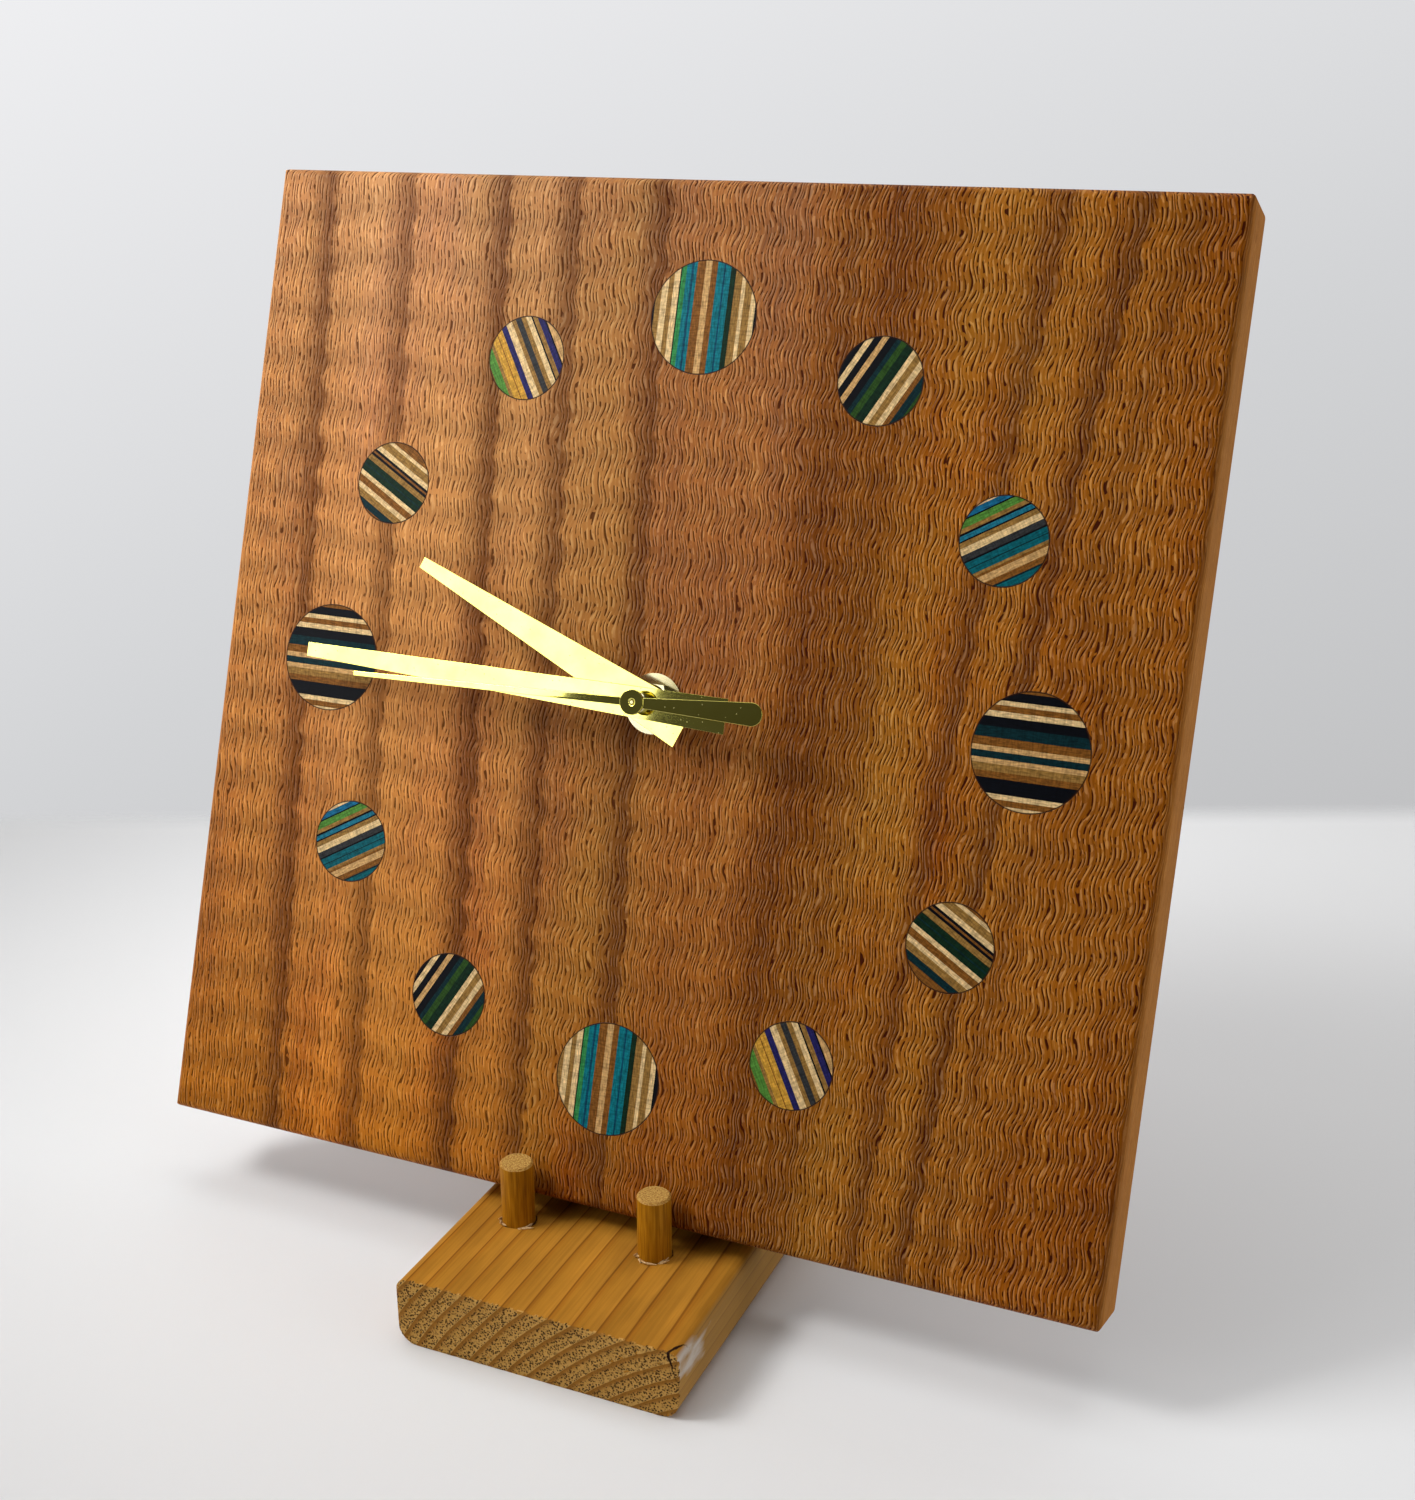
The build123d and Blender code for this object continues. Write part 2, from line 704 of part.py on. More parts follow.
def along_coil(length, height, depth, corner=0):
    """A bar along the coil, centred on its core."""
    section = RectangleRounded(height, depth, corner) if corner else Rectangle(height, depth)
    bar = extrude(section, amount=length / 2, both=True)
    return Pos(rotor_axis[0], coil_v, case_front - coil_depth) * Rot(0, 90, 0) * Rot(0, 0, 90) * bar


def coil_bobbin():
    tube_height, tube_depth = core_width + 2 * bobbin_wall, core_thickness + 2 * bobbin_wall
    bobbin = along_coil(bobbin_length, bobbin_flange_height, bobbin_flange_depth)
    span = bobbin_length - 2 * bobbin_flange_thickness
    bobbin -= along_coil(span, bobbin_flange_height, bobbin_flange_depth)
    bobbin += along_coil(bobbin_length, tube_height, tube_depth)
    return bobbin - along_coil(bobbin_length, core_width + 2 * bobbin_fit, core_thickness + 2 * bobbin_fit)


def coil_winding():
    span = bobbin_length - 2 * bobbin_flange_thickness
    tube_height, tube_depth = core_width + 2 * bobbin_wall, core_thickness + 2 * bobbin_wall
    return along_coil(span, winding_height, winding_depth, winding_corner_radius) - along_coil(
        span, tube_height, tube_depth
    )


# Electronics
def circuit_board():
    outline = RectangleRounded(2 * circuit_half_width, circuit_height, cavity_corner_radius)
    return sheet(outline, circuit_depth, circuit_depth + circuit_thickness, (0, circuit_v))


def quartz_crystal():
    can = Rot(0, 90, 0) * Cylinder(crystal_radius, crystal_length)
    depth = circuit_depth - crystal_gap - crystal_radius
    return Pos(crystal_place_share * circuit_half_width, circuit_v, case_front - depth) * can


def control_chip():
    place = (chip_place_share * circuit_half_width, circuit_v)
    drop = shaft(chip_radius, circuit_depth - chip_height, circuit_depth, place)
    return chamfer(drop.edges().sort_by(Axis.Z)[-1], chip_chamfer)


# Battery and contacts
def battery():
    body_length = cell_length - cell_nub_length
    body = Cylinder(cell_radius, body_length, align=(Align.CENTER, Align.CENTER, Align.MIN))
    body = chamfer(body.edges().filter_by(GeomType.CIRCLE), cell_chamfer)
    nub = Cylinder(cell_nub_radius, cell_nub_length, align=(Align.CENTER, Align.CENTER, Align.MIN))
    cell = body + Pos(0, 0, body_length) * nub
    return Pos(cell_base_u, cell_v, case_front - cell_depth) * Rot(0, 90, 0) * cell


def contact_strip(side):
    """A flat strip up the case's side wall, from the bay to the circuit board."""
    low = -cavity_half + contact_foot_gap
    high = circuit_v + contact_tab_height / 2
    middle_u = side * (cavity_half - contact_thickness / 2)
    near, far = cell_depth - contact_width / 2, cell_depth + contact_width / 2
    strip = sheet(Rectangle(contact_thickness, high - low), near, far, (middle_u, (low + high) / 2))
    tab = Rectangle(contact_thickness, contact_tab_height)
    return strip + sheet(tab, near, circuit_depth, (middle_u, circuit_v))


def battery_contact_positive():
    dimple = Rot(0, 90, 0) * Cylinder(
        contact_dimple_radius, contact_dimple_height, align=(Align.CENTER, Align.CENTER, Align.MIN)
    )
    dimple_u = cavity_half - contact_thickness - contact_dimple_height
    dimple = Pos(dimple_u, cell_v, case_front - cell_depth) * dimple
    reach = contact_width / 2
    trim = sheet(Rectangle(case_side, case_side), cell_depth - reach, cell_depth + reach)
    return contact_strip(1) + (dimple & trim)


def battery_contact_negative():
    base = -cavity_half + contact_thickness
    peak = cell_base_u - contact_gap
    leaf = (
        (base, cell_v - leaf_half_span - leaf_thickness),
        (base, cell_v - leaf_half_span),
        (peak - leaf_thickness, cell_v),
        (base + contact_gap, cell_v + leaf_half_span),
        (base + contact_gap + leaf_thickness, cell_v + leaf_half_span),
        (peak, cell_v),
    )
    near, far = cell_depth - contact_width / 2, cell_depth + contact_width / 2
    return contact_strip(-1) + sheet(outline_of(leaf), near, far)


# Every piece by name: the stand as it stands, the clock leaned onto it
left_peg_x, right_peg_x = peg_x_places()
stand_pieces = {
    "stand_block": stand_block(),
    "front_peg_left": peg(left_peg_x, front_peg_y, front_peg_height),
    "front_peg_right": peg(right_peg_x, front_peg_y, front_peg_height),
    "rear_peg_left": peg(left_peg_x, rear_peg_y, rear_peg_height),
    "rear_peg_right": peg(right_peg_x, rear_peg_y, rear_peg_height),
}
clock_makers = (
    face_board, dial_gasket, dial_washer, dial_nut, threaded_bush,
    movement_case, train_plate, movement_back_cover,
    hour_hand, minute_hand, minute_nut, second_hand,
    hour_wheel, minute_wheel, second_wheel, third_wheel, intermediate_wheel, rotor_pinion, rotor,
    motion_wheel, setting_knob,
    stator, coil_core, coil_bobbin, coil_winding,
    circuit_board, quartz_crystal, control_chip,
    battery, battery_contact_positive, battery_contact_negative,
)
clock_pieces = {make.__name__: make() for make in clock_makers}
for hour in range(1, hour_count + 1):
    clock_pieces[f"inlay_{hour:02d}"] = inlay(hour)

os.makedirs("parts", exist_ok=True)
for name, piece in stand_pieces.items():
    export_step(piece, f"parts/{name}.step")
for name, piece in clock_pieces.items():
    export_step(clock_plane.location * piece, f"parts/{name}.step")

for name, axis in {
    "hub": centre_axis, "third": third_axis, "intermediate": intermediate_axis, "rotor": rotor_axis,
    "motion": motion_axis, "knob": knob_axis,
}.items():
    print(name, "axis at", clock_plane.from_local_coords((axis[0], axis[1], 0)))
print("out of the dial", clock_plane.z_dir)
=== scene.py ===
"""Square wooden clock on a softwood stand: finishes, rough-sawn detail and a plain studio."""

import json
import logging
import math
import random
from collections.abc import Callable
from dataclasses import dataclass
from enum import Enum
from functools import partial
from typing import Any

import bmesh
import bpy
from mathutils import Matrix, Quaternion, Vector, noise


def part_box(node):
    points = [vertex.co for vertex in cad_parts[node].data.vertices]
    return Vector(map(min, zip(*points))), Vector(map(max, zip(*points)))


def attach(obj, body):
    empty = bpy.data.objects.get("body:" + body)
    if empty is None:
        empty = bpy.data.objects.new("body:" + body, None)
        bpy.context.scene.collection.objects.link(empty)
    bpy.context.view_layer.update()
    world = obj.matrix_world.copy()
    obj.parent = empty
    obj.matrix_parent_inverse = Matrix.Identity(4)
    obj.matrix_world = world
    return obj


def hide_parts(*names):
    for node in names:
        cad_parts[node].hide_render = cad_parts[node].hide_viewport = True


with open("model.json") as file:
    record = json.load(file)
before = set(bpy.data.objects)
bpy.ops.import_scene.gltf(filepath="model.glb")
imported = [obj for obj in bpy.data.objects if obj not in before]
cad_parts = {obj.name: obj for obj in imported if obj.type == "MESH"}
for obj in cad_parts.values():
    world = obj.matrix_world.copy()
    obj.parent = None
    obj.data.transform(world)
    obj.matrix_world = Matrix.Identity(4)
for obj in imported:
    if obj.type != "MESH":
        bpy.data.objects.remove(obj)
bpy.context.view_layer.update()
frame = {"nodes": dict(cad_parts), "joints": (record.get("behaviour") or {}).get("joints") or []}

LOG = logging.getLogger("wooden_clock")
MM = 0.001
HOURS = 12
PATTERNS = 6
UP = Vector((0, 0, 1))
# Nearly all of a noise's values lie between these
NOISE_SPAN = (0.3, 0.7)
Material = bpy.types.Material
Socket = bpy.types.NodeSocket
Outputs = bpy.types.NodeOutputs
Adder = Callable[..., Outputs]
Colour = tuple[float, float, float, float]
Triple = tuple[float, float, float]
Range = tuple[float, float]


def linear(hex_colour: str) -> Colour:
    """Turn an sRGB hex colour into the linear colour that shaders take.

    Args:
        hex_colour: Six hex digits after a number sign.

    Returns:
        Linear red, green and blue, with full alpha.
    """
    parts = [int(hex_colour[i:i + 2], 16) / 255 for i in (1, 3, 5)]
    curve = [c / 12.92 if c <= 0.04045 else ((c + 0.055) / 1.055) ** 2.4 for c in parts]
    return (curve[0], curve[1], curve[2], 1.0)


def fill(node: bpy.types.Node, inputs: dict[int | str, Any]) -> None:
    """Set or link the inputs of a node.

    Args:
        node: The node.
        inputs: Values, hex colours or output sockets, by the input's name or number.
    """
    for key, value in inputs.items():
        if isinstance(value, Socket):
            node.id_data.links.new(value, node.inputs[key])
        else:
            node.inputs[key].default_value = linear(value) if isinstance(value, str) else value


def add_node(
    tree: bpy.types.NodeTree,
    kind: str,
    inputs: dict[int | str, Any] | tuple[Any, ...] = (),
    operation: str = "",
    stops: list[tuple[float, str | Colour]] | None = None,
    between: str = "LINEAR",
    cell: Triple | None = None,
    **settings: Any,
) -> Outputs:
    """Add one shader node with its settings, ramp stops and filled inputs.

    Args:
        tree: The node tree that gets the node.
        kind: The node's type, without the leading ShaderNode.
        inputs: What fills the inputs, by name or number, or in the order that the node has them.
        operation: What a node of arithmetic does.
        stops: Places and colours of a colour ramp, from low to high.
        between: How the ramp goes from stop to stop.
        cell: The size of a texture's cell along each axis, in the unit of its coordinates.
        settings: Properties of the node.

    Returns:
        The node's outputs.
    """
    node = tree.nodes.new("ShaderNode" + kind)
    settings |= {"operation": operation} if operation else {}
    for name, value in settings.items():
        setattr(node, name, value)
    if stops:
        ramp = node.color_ramp
        ramp.interpolation = between
        ramp.elements.remove(ramp.elements[1])
        for number, (place, colour) in enumerate(stops):
            stop = ramp.elements.new(place) if number else ramp.elements[0]
            stop.position, stop.color = place, linear(colour) if isinstance(colour, str) else colour
    given = dict(inputs if isinstance(inputs, dict) else enumerate(inputs))
    if cell:
        counted = {"Vector": given["Vector"], "Scale": cell}
        given |= {"Vector": add_node(tree, "Mapping", counted, vector_type="TEXTURE")[0], "Scale": 1.0}
    fill(node, given)
    return node.outputs


def new_material(name: str) -> tuple[Material, Adder, bpy.types.Node]:
    """Start a material with a bare surface shader.

    Args:
        name: What the material is and how it was made.

    Returns:
        The material, the function that adds a node to it, and its surface shader.
    """
    material = bpy.data.materials.new(name)
    material.use_nodes = True
    tree = material.node_tree
    return material, partial(add_node, tree), tree.nodes["Principled BSDF"]


def millimetres(add: Adder) -> Socket:
    """Give an object's own coordinates in millimetres, in the material that add works on."""
    sizes = {"Vector": add("TexCoord")["Object"], "Scale": (MM, MM, MM)}
    return add("Mapping", sizes, vector_type="TEXTURE")[0]


@dataclass(frozen=True)
class DialFrame:
    """The dial's own axes, read from the minute hand's joint."""

    hub: Vector
    out: Vector

    @classmethod
    def from_joint(cls, name: str) -> "DialFrame":
        """Read the hub and the dial's facing from the joint of that name, which turns into the dial."""
        joint = next(j for j in frame["joints"] if j["name"] == name)
        return cls(Vector(joint["pos_m"]), -Vector(joint["axis"]).normalized())

    @property
    def right(self) -> Vector:
        """The dial's direction towards three o'clock."""
        return Vector((1, 0, 0))

    @property
    def up(self) -> Vector:
        """The dial's direction towards twelve o'clock."""
        return self.out.cross(self.right)

    def millimetres(self, add: Adder, middle: Vector, turn: float = 0) -> Socket:
        """Coordinates in millimetres on the dial: across, along and out of it.

        Args:
            add: Adds a node to the material.
            middle: The point that is their origin.
            turn: How far clockwise the axes are turned on the dial, in degrees.

        Returns:
            The output with the coordinates.
        """
        angle = math.radians(turn)
        across = self.right * math.cos(angle) - self.up * math.sin(angle)
        along = self.right * math.sin(angle) + self.up * math.cos(angle)
        axes = Matrix((across, along, self.out)).transposed().to_euler()
        place = add("TexCoord")["Object"]
        sizes = {"Vector": place, "Location": middle, "Rotation": axes, "Scale": (MM, MM, MM)}
        return add("Mapping", sizes, vector_type="TEXTURE")[0]


@dataclass(frozen=True)
class OakGrain:
    """What the oak's figure is drawn on.

    Side is how far a face looks sideways, clear how far the figure shows on it, fall how far down the
    board a point is, and top where its grain meets the top edge. Across counts over the grain, and along
    has that with the other two axes.
    """

    place: Socket
    axes: Outputs
    side: Socket
    clear: Socket
    fall: Socket
    top: Socket
    ripple: Socket
    across: Socket
    along: Socket


@dataclass(frozen=True)
class CurlyOakFinish:
    """Curly oak, planed and oiled: rippled grain of short open pores under a faint gloss and a painted satin
    sheen.

    Sizes are in millimetres on the dial, from the hub. Bands are the places of the growth bands along
    the top edge and how dark each is there, as a share. Each fades in from the left and ends sharply,
    and they draw together towards the bottom edge. Zones are places along the top edge with how light,
    how golden and, at the top, how much painted pale sheen lies on the wood there, as shares. A range
    named from, edge or break is where a facing, wave or noise starts to count and where it counts in
    full. The depths go from plain wood to wood under the painted pale sheen, and the painted sheen of
    the ripples goes from the calm left to the lively right.
    """

    dial: DialFrame
    board_side: float = 304.8
    left_lean: float = 20.0
    right_lean: float = -42.0
    right_lean_from: float = 120.0
    drift_cell: Triple = (60, 140, 60)
    drift_reach: float = 8.0
    beat_cell: Triple = (85, 150, 60)
    beat_turns: float = 2.0
    curl_period: float = 14.5
    curl_sway: float = 0.68
    calm_left: float = -150.0
    calm_right: float = -10.0
    calm_share: float = 0.35
    painted_curl_sheen: Range = (0.13, 0.07)
    edge_tilt: float = 0.8
    side_from: Range = (0.5, 0.95)
    clear_from: Range = (0.2, 0.8)
    side_clear: float = 0.22
    side_painted_light: float = 0.40
    sanded_share: float = 0.5
    pore_spacing: float = 1.25
    pore_length: float = 2.7
    pore_lean_share: float = 0.35
    pore_walk_cell: Triple = (3.2, 12, 3.2)
    pore_walk: float = 2.6
    pore_edge: Range = (0.34, 0.82)
    pore_break: Range = (0.455, 0.505)
    pore_depth: Range = (0.96, 0.30)
    pore_relief: float = 0.2
    wall_lag: float = 2.0
    wall_edge: Range = (-0.2, 1.0)
    wall_share: float = 0.20
    wall_depth: Range = (1.0, -0.8)
    highlight_gain: Triple = (1.60, 1.90, 2.00)
    highlight_lift: Triple = (0.028, 0.041, 0.036)
    fibre_width: float = 0.42
    fibre_length: float = 16.0
    cloud_cell: Triple = (20, 95, 40)
    cloud_share: float = 0.60
    patch_cell: Triple = (38, 130, 60)
    patch_edge: Range = (0.34, 0.56)
    bands: tuple[tuple[float, float], ...] = (
        (-132, 0.95), (-103, 0.80), (-69, 1.00), (-45, 0.90), (-16, 0.95), (46, 0.45), (104, 0.80),
        (126, 0.90), (140, 0.40),
    )
    band_fade: float = 12.0
    band_end: float = 2.0
    band_tail: float = 0.15
    band_depth: float = 0.80
    band_ripple: float = 0.35
    ragged_cell: Triple = (6, 5, 6)
    ragged_reach: float = 7.0
    zones: tuple[tuple[float, float, float, float], ...] = (
        (-150, 0.70, 0.45, 0.24), (-110, 1.00, 0.65, 0.31), (-60, 0.66, 0.85, 0.27),
        (-25, 0.48, 0.85, 0.17), (0, 0.66, 0.20, 0.14), (22, 0.54, 0.10, 0.13), (45, 0.12, 0.10, 0.02),
        (62, 0.0, 0.20, 0.0), (85, 0.66, 0.90, 0.0), (105, 0.74, 0.80, 0.0), (125, 0.74, 0.45, 0.0),
        (150, 0.68, 0.30, 0.0),
    )
    lightness: Range = (0.70, 1.20)
    shade: float = 0.94
    lower_from: Range = (0.13, 0.31)
    lower_lift: float = 0.60
    gloss: Range = (0.36, 0.60)

    def lay_grain(self, add: Adder) -> OakGrain:
        """Lay the grain, which draws together towards the bottom and ripples on its way.

        Args:
            add: Adds a node to the material.

        Returns:
            The grain.
        """
        place = self.dial.millimetres(add, self.dial.hub)
        axes = add("SeparateXYZ", (place,))
        drift = add("TexNoise", {"Vector": place, "Detail": 1.0}, cell=self.drift_cell)[0]
        beat = add("TexNoise", {"Vector": place, "Detail": 0.0}, cell=self.beat_cell)[0]
        # The sides show the grain edge on: straight, fine and faint
        facing = add("SeparateXYZ", (add("TexCoord")["Normal"],))["X"]
        facing = add("Math", (facing,), "ABSOLUTE")[0]
        side = add("MapRange", (facing, *self.side_from))[0]
        clear = add("MapRange", (facing, *self.clear_from, 1.0, self.side_clear))[0]
        half = self.board_side / 2
        fall = add("MapRange", (axes["Y"], half, -half))[0]
        lean = add("MapRange", (axes["X"], 0.0, self.right_lean_from, -self.left_lean, -self.right_lean))[0]
        top = add("Math", (lean, fall, axes["X"]), "MULTIPLY_ADD")[0]
        # The pores lean less than the bands, so that they don't crowd
        line = add("Mix", {0: self.pore_lean_share, 2: axes["X"], 3: top}, data_type="FLOAT")[0]
        # The curl: ripples up the board whose phase wanders from side to side
        rise = add("Math", (axes["Y"], self.curl_period), "DIVIDE")[0]
        phase = add("Math", (beat, self.beat_turns, rise), "MULTIPLY_ADD")[0]
        angle = add("Math", (phase, math.tau), "MULTIPLY")[0]
        ripple = add("Math", (angle,), "SINE")[0]
        calm = self.calm_share * self.curl_sway
        sway = add("MapRange", (axes["X"], self.calm_left, self.calm_right, calm, self.curl_sway))[0]
        sway = add("Math", (sway, clear), "MULTIPLY")[0]
        bend = add("Math", (ripple, sway, line), "MULTIPLY_ADD")[0]
        bend = add("Math", (drift, self.drift_reach, bend), "MULTIPLY_ADD")[0]
        tilt = add("Math", (axes["X"], -self.edge_tilt / half), "MULTIPLY")[0]
        across = add("Math", (axes["Z"], tilt, bend), "MULTIPLY_ADD")[0]
        along = add("CombineXYZ", (across, axes["Y"], axes["Z"]))[0]
        return OakGrain(place, axes, side, clear, fall, top, ripple, across, along)

    def open_pores(self, add: Adder, grain: OakGrain) -> tuple[Socket, Socket]:
        """Draw the open pores, slim dark lines side by side that are broken along their length.

        Args:
            add: Adds a node to the material.
            grain: The grain.

        Returns:
            How far a point is in a pore, and the share of a highlight painted on a pore's wall that faces the
            light.
        """
        walk = add("TexNoise", {"Vector": grain.along, "Detail": 1.0}, cell=self.pore_walk_cell)[0]
        count = add("Math", (grain.across, self.pore_spacing), "DIVIDE")[0]
        count = add("Math", (walk, self.pore_walk, count), "MULTIPLY_ADD")[0]
        turn = add("Math", (count, math.tau), "MULTIPLY")[0]
        groove = add("Math", (turn,), "SINE")[0]
        groove = add("MapRange", (groove, *self.pore_edge))[0]
        cell = (self.pore_spacing, self.pore_length, self.pore_spacing)
        breaks = add("TexNoise", {"Vector": grain.along, "Detail": 1.0}, cell=cell)[0]
        breaks = add("MapRange", (breaks, *self.pore_break))[0]
        pore = add("Math", (groove, breaks), "MULTIPLY")[0]
        pore = add("Math", (pore, grain.clear), "MULTIPLY")[0]
        # Painted highlight: a pale line on each pore's wall that faces the light
        after = add("Math", (turn, self.wall_lag), "SUBTRACT")[0]
        highlight_share = add("Math", (after,), "SINE")[0]
        highlight_share = add("MapRange", (highlight_share, *self.wall_edge))[0]
        wall = add("MapRange", (breaks, 0.0, 1.0, self.wall_share))[0]
        wall = add("Math", (wall, grain.clear), "MULTIPLY")[0]
        return pore, add("Math", (highlight_share, wall), "MULTIPLY")[0]

    def tinted(self, add: Adder, grain: OakGrain, fibre: Socket, zone: Outputs) -> Socket:
        """Colour the wood between its pores, with golden and sanded parts and a pale sheen painted at the
        top.

        Args:
            add: Adds a node to the material.
            grain: The grain.
            fibre: The noise of the fibres.
            zone: The shares of the zones.

        Returns:
            The colour.
        """
        cloud = add("TexNoise", {"Vector": grain.place, "Detail": 3.0}, cell=self.cloud_cell)[0]
        tone = add("Math", (cloud, self.cloud_share, fibre), "MULTIPLY_ADD")[0]
        wood = add("ValToRGB", (tone,), stops=[
            (0.50, "#522000"), (0.68, "#733702"), (0.84, "#8D4A06"), (1.00, "#A1611E"),
        ])[0]
        patch = add("TexNoise", {"Vector": grain.place}, cell=self.patch_cell)[0]
        patch = add("MapRange", (patch, *self.patch_edge))[0]
        golden = add("Math", (patch, zone["Green"]), "MULTIPLY")[0]
        sanded = add("Math", (grain.side, self.sanded_share), "MULTIPLY")[0]
        # Painted sheen: where a zone has it, the wood is washed pale, most at the top edge
        high = add("Math", (grain.fall, -1.0, 1.0), "MULTIPLY_ADD")[0]
        pale_wash = add("Math", (high, zone["Blue"]), "MULTIPLY")[0]
        for share, colour in ((golden, "#935C17"), (sanded, "#A0713C"), (pale_wash, "#C59D78")):
            wood = add("Mix", {0: share, 6: wood, 7: colour}, data_type="RGBA")[2]
        return wood

    def lit(self, add: Adder, grain: OakGrain, zone: Outputs) -> Socket:
        """How light the wood is, by its zone, with painted light on its sides and a painted sheen on its
        ripples.

        Args:
            add: Adds a node to the material.
            grain: The grain.
            zone: The shares of the zones.

        Returns:
            What the colour is multiplied by.
        """
        light = add("MapRange", (zone["Red"], 0.0, 1.0, *self.lightness))[0]
        lower = add("MapRange", (zone["Blue"], *self.lower_from))[0]
        lower = add("Math", (lower, grain.fall), "MULTIPLY")[0]
        light = add("Math", (lower, self.lower_lift, light), "MULTIPLY_ADD")[0]
        # Painted light: the sides are made lighter than the face
        light = add("Math", (grain.side, self.side_painted_light, light), "MULTIPLY_ADD")[0]
        # Painted sheen: the ripples of the curl are made lighter and darker in turn, more on the left
        sheen = add("MapRange", (grain.axes["X"], self.calm_left, self.calm_right, *self.painted_curl_sheen))[0]
        sheen = add("Math", (sheen, grain.clear), "MULTIPLY")[0]
        shade = add("Math", (grain.ripple, sheen, self.shade), "MULTIPLY_ADD")[0]
        return add("Math", (shade, light), "MULTIPLY")[0]

    def banded(self, add: Adder, grain: OakGrain) -> Socket:
        """How far a point is in the dark wood of a growth band.

        Args:
            add: Adds a node to the material.
            grain: The grain.

        Returns:
            The share of dark wood.
        """
        ragged = add("TexNoise", {"Vector": grain.along, "Detail": 3.0}, cell=self.ragged_cell)[0]
        spot = add("Math", (grain.ripple, self.band_ripple, grain.top), "MULTIPLY_ADD")[0]
        spot = add("Math", (ragged, self.ragged_reach, spot), "MULTIPLY_ADD")[0]
        half, middle = self.board_side / 2, self.ragged_reach / 2
        share = add("MapRange", (spot, middle - half, middle + half))[0]
        stops = []
        for u, dark in self.bands:
            for step, depth in ((-self.band_fade, 0.0), (0.0, dark), (self.band_end, self.band_tail * dark)):
                stops.append((0.5 + (u + step) / self.board_side, (depth, depth, depth, 1.0)))
        band = add("ValToRGB", (share,), stops=stops, between="EASE")[0]
        return add("Math", (band, self.band_depth), "MULTIPLY")[0]

    def build(self) -> Material:
        """Build the board's material.

        Returns:
            The material.
        """
        material, add, shader = new_material("curly oak, planed and oiled")
        grain = self.lay_grain(add)
        pore, highlight_share = self.open_pores(add, grain)
        cell = (self.fibre_width, self.fibre_length, self.fibre_width)
        fibre = add("TexNoise", {"Vector": grain.along, "Detail": 2.0}, cell=cell)[0]
        half = self.board_side / 2
        spread = add("MapRange", (grain.top, -half, half))[0]
        # A zone's blue share is how much pale sheen is painted there
        stops = [(0.5 + u / self.board_side, (*shares, 1.0)) for u, *shares in self.zones]
        zone = add("SeparateColor", (add("ValToRGB", (spread,), stops=stops, between="EASE")[0],))
        wood, light = self.tinted(add, grain, fibre, zone), self.lit(add, grain, zone)
        wood = add("VectorMath", {0: wood, "Scale": light}, "SCALE")[0]
        wood = add("Mix", {0: self.banded(add, grain), 6: wood, 7: "#4E2407"}, data_type="RGBA")[2]
        # Highlights painted on the pores' walls; they and the pores are fainter under the painted pale sheen
        painted_highlight = add("VectorMath", (wood, self.highlight_gain, self.highlight_lift), "MULTIPLY_ADD")[0]
        faint = add("MapRange", (zone["Blue"], 0.0, 1.0, *self.wall_depth))[0]
        highlight_share = add("Math", (highlight_share, faint), "MULTIPLY")[0]
        wood = add("Mix", {0: highlight_share, 6: wood, 7: painted_highlight}, data_type="RGBA")[2]
        depth = add("MapRange", (zone["Blue"], 0.0, 1.0, *self.pore_depth))[0]
        depth = add("Math", (pore, depth), "MULTIPLY")[0]
        wood = add("Mix", {0: depth, 6: wood, 7: "#340B00"}, data_type="RGBA")[2]
        gloss = add("MapRange", (pore, 0.0, 1.0, *self.gloss))[0]
        gloss = add("Math", (grain.side, self.sanded_share, gloss), "MULTIPLY_ADD")[0]
        relief = add("Math", (pore, -1.0, fibre), "MULTIPLY_ADD")[0]
        bump = add("Bump", {"Strength": 0.5, "Distance": self.pore_relief * MM, "Height": relief})[0]
        fill(shader, {"Base Color": wood, "Roughness": gloss, "Specular IOR Level": 0.035, "Normal": bump})
        return material


class Dye(Enum):
    """The colours of the veneers in the laminated inlays."""

    CREAM = "#CEAF7C"
    PALE_TAN = "#BA925C"
    TAN = "#876430"
    BROWN = "#744819"
    ORANGE = "#BA8A30"
    GREEN = "#48792E"
    JADE = "#2B7840"
    OLIVE = "#254416"
    FOREST = "#0A2414"
    SKY = "#186478"
    BLUE = "#12597A"
    PETROL = "#033C54"
    TEAL = "#04646E"
    LAGOON = "#03525B"
    DEEP_TEAL = "#052428"
    VIOLET = "#1E1C50"
    SLATE = "#2C2D2E"
    NAVY = "#05070D"


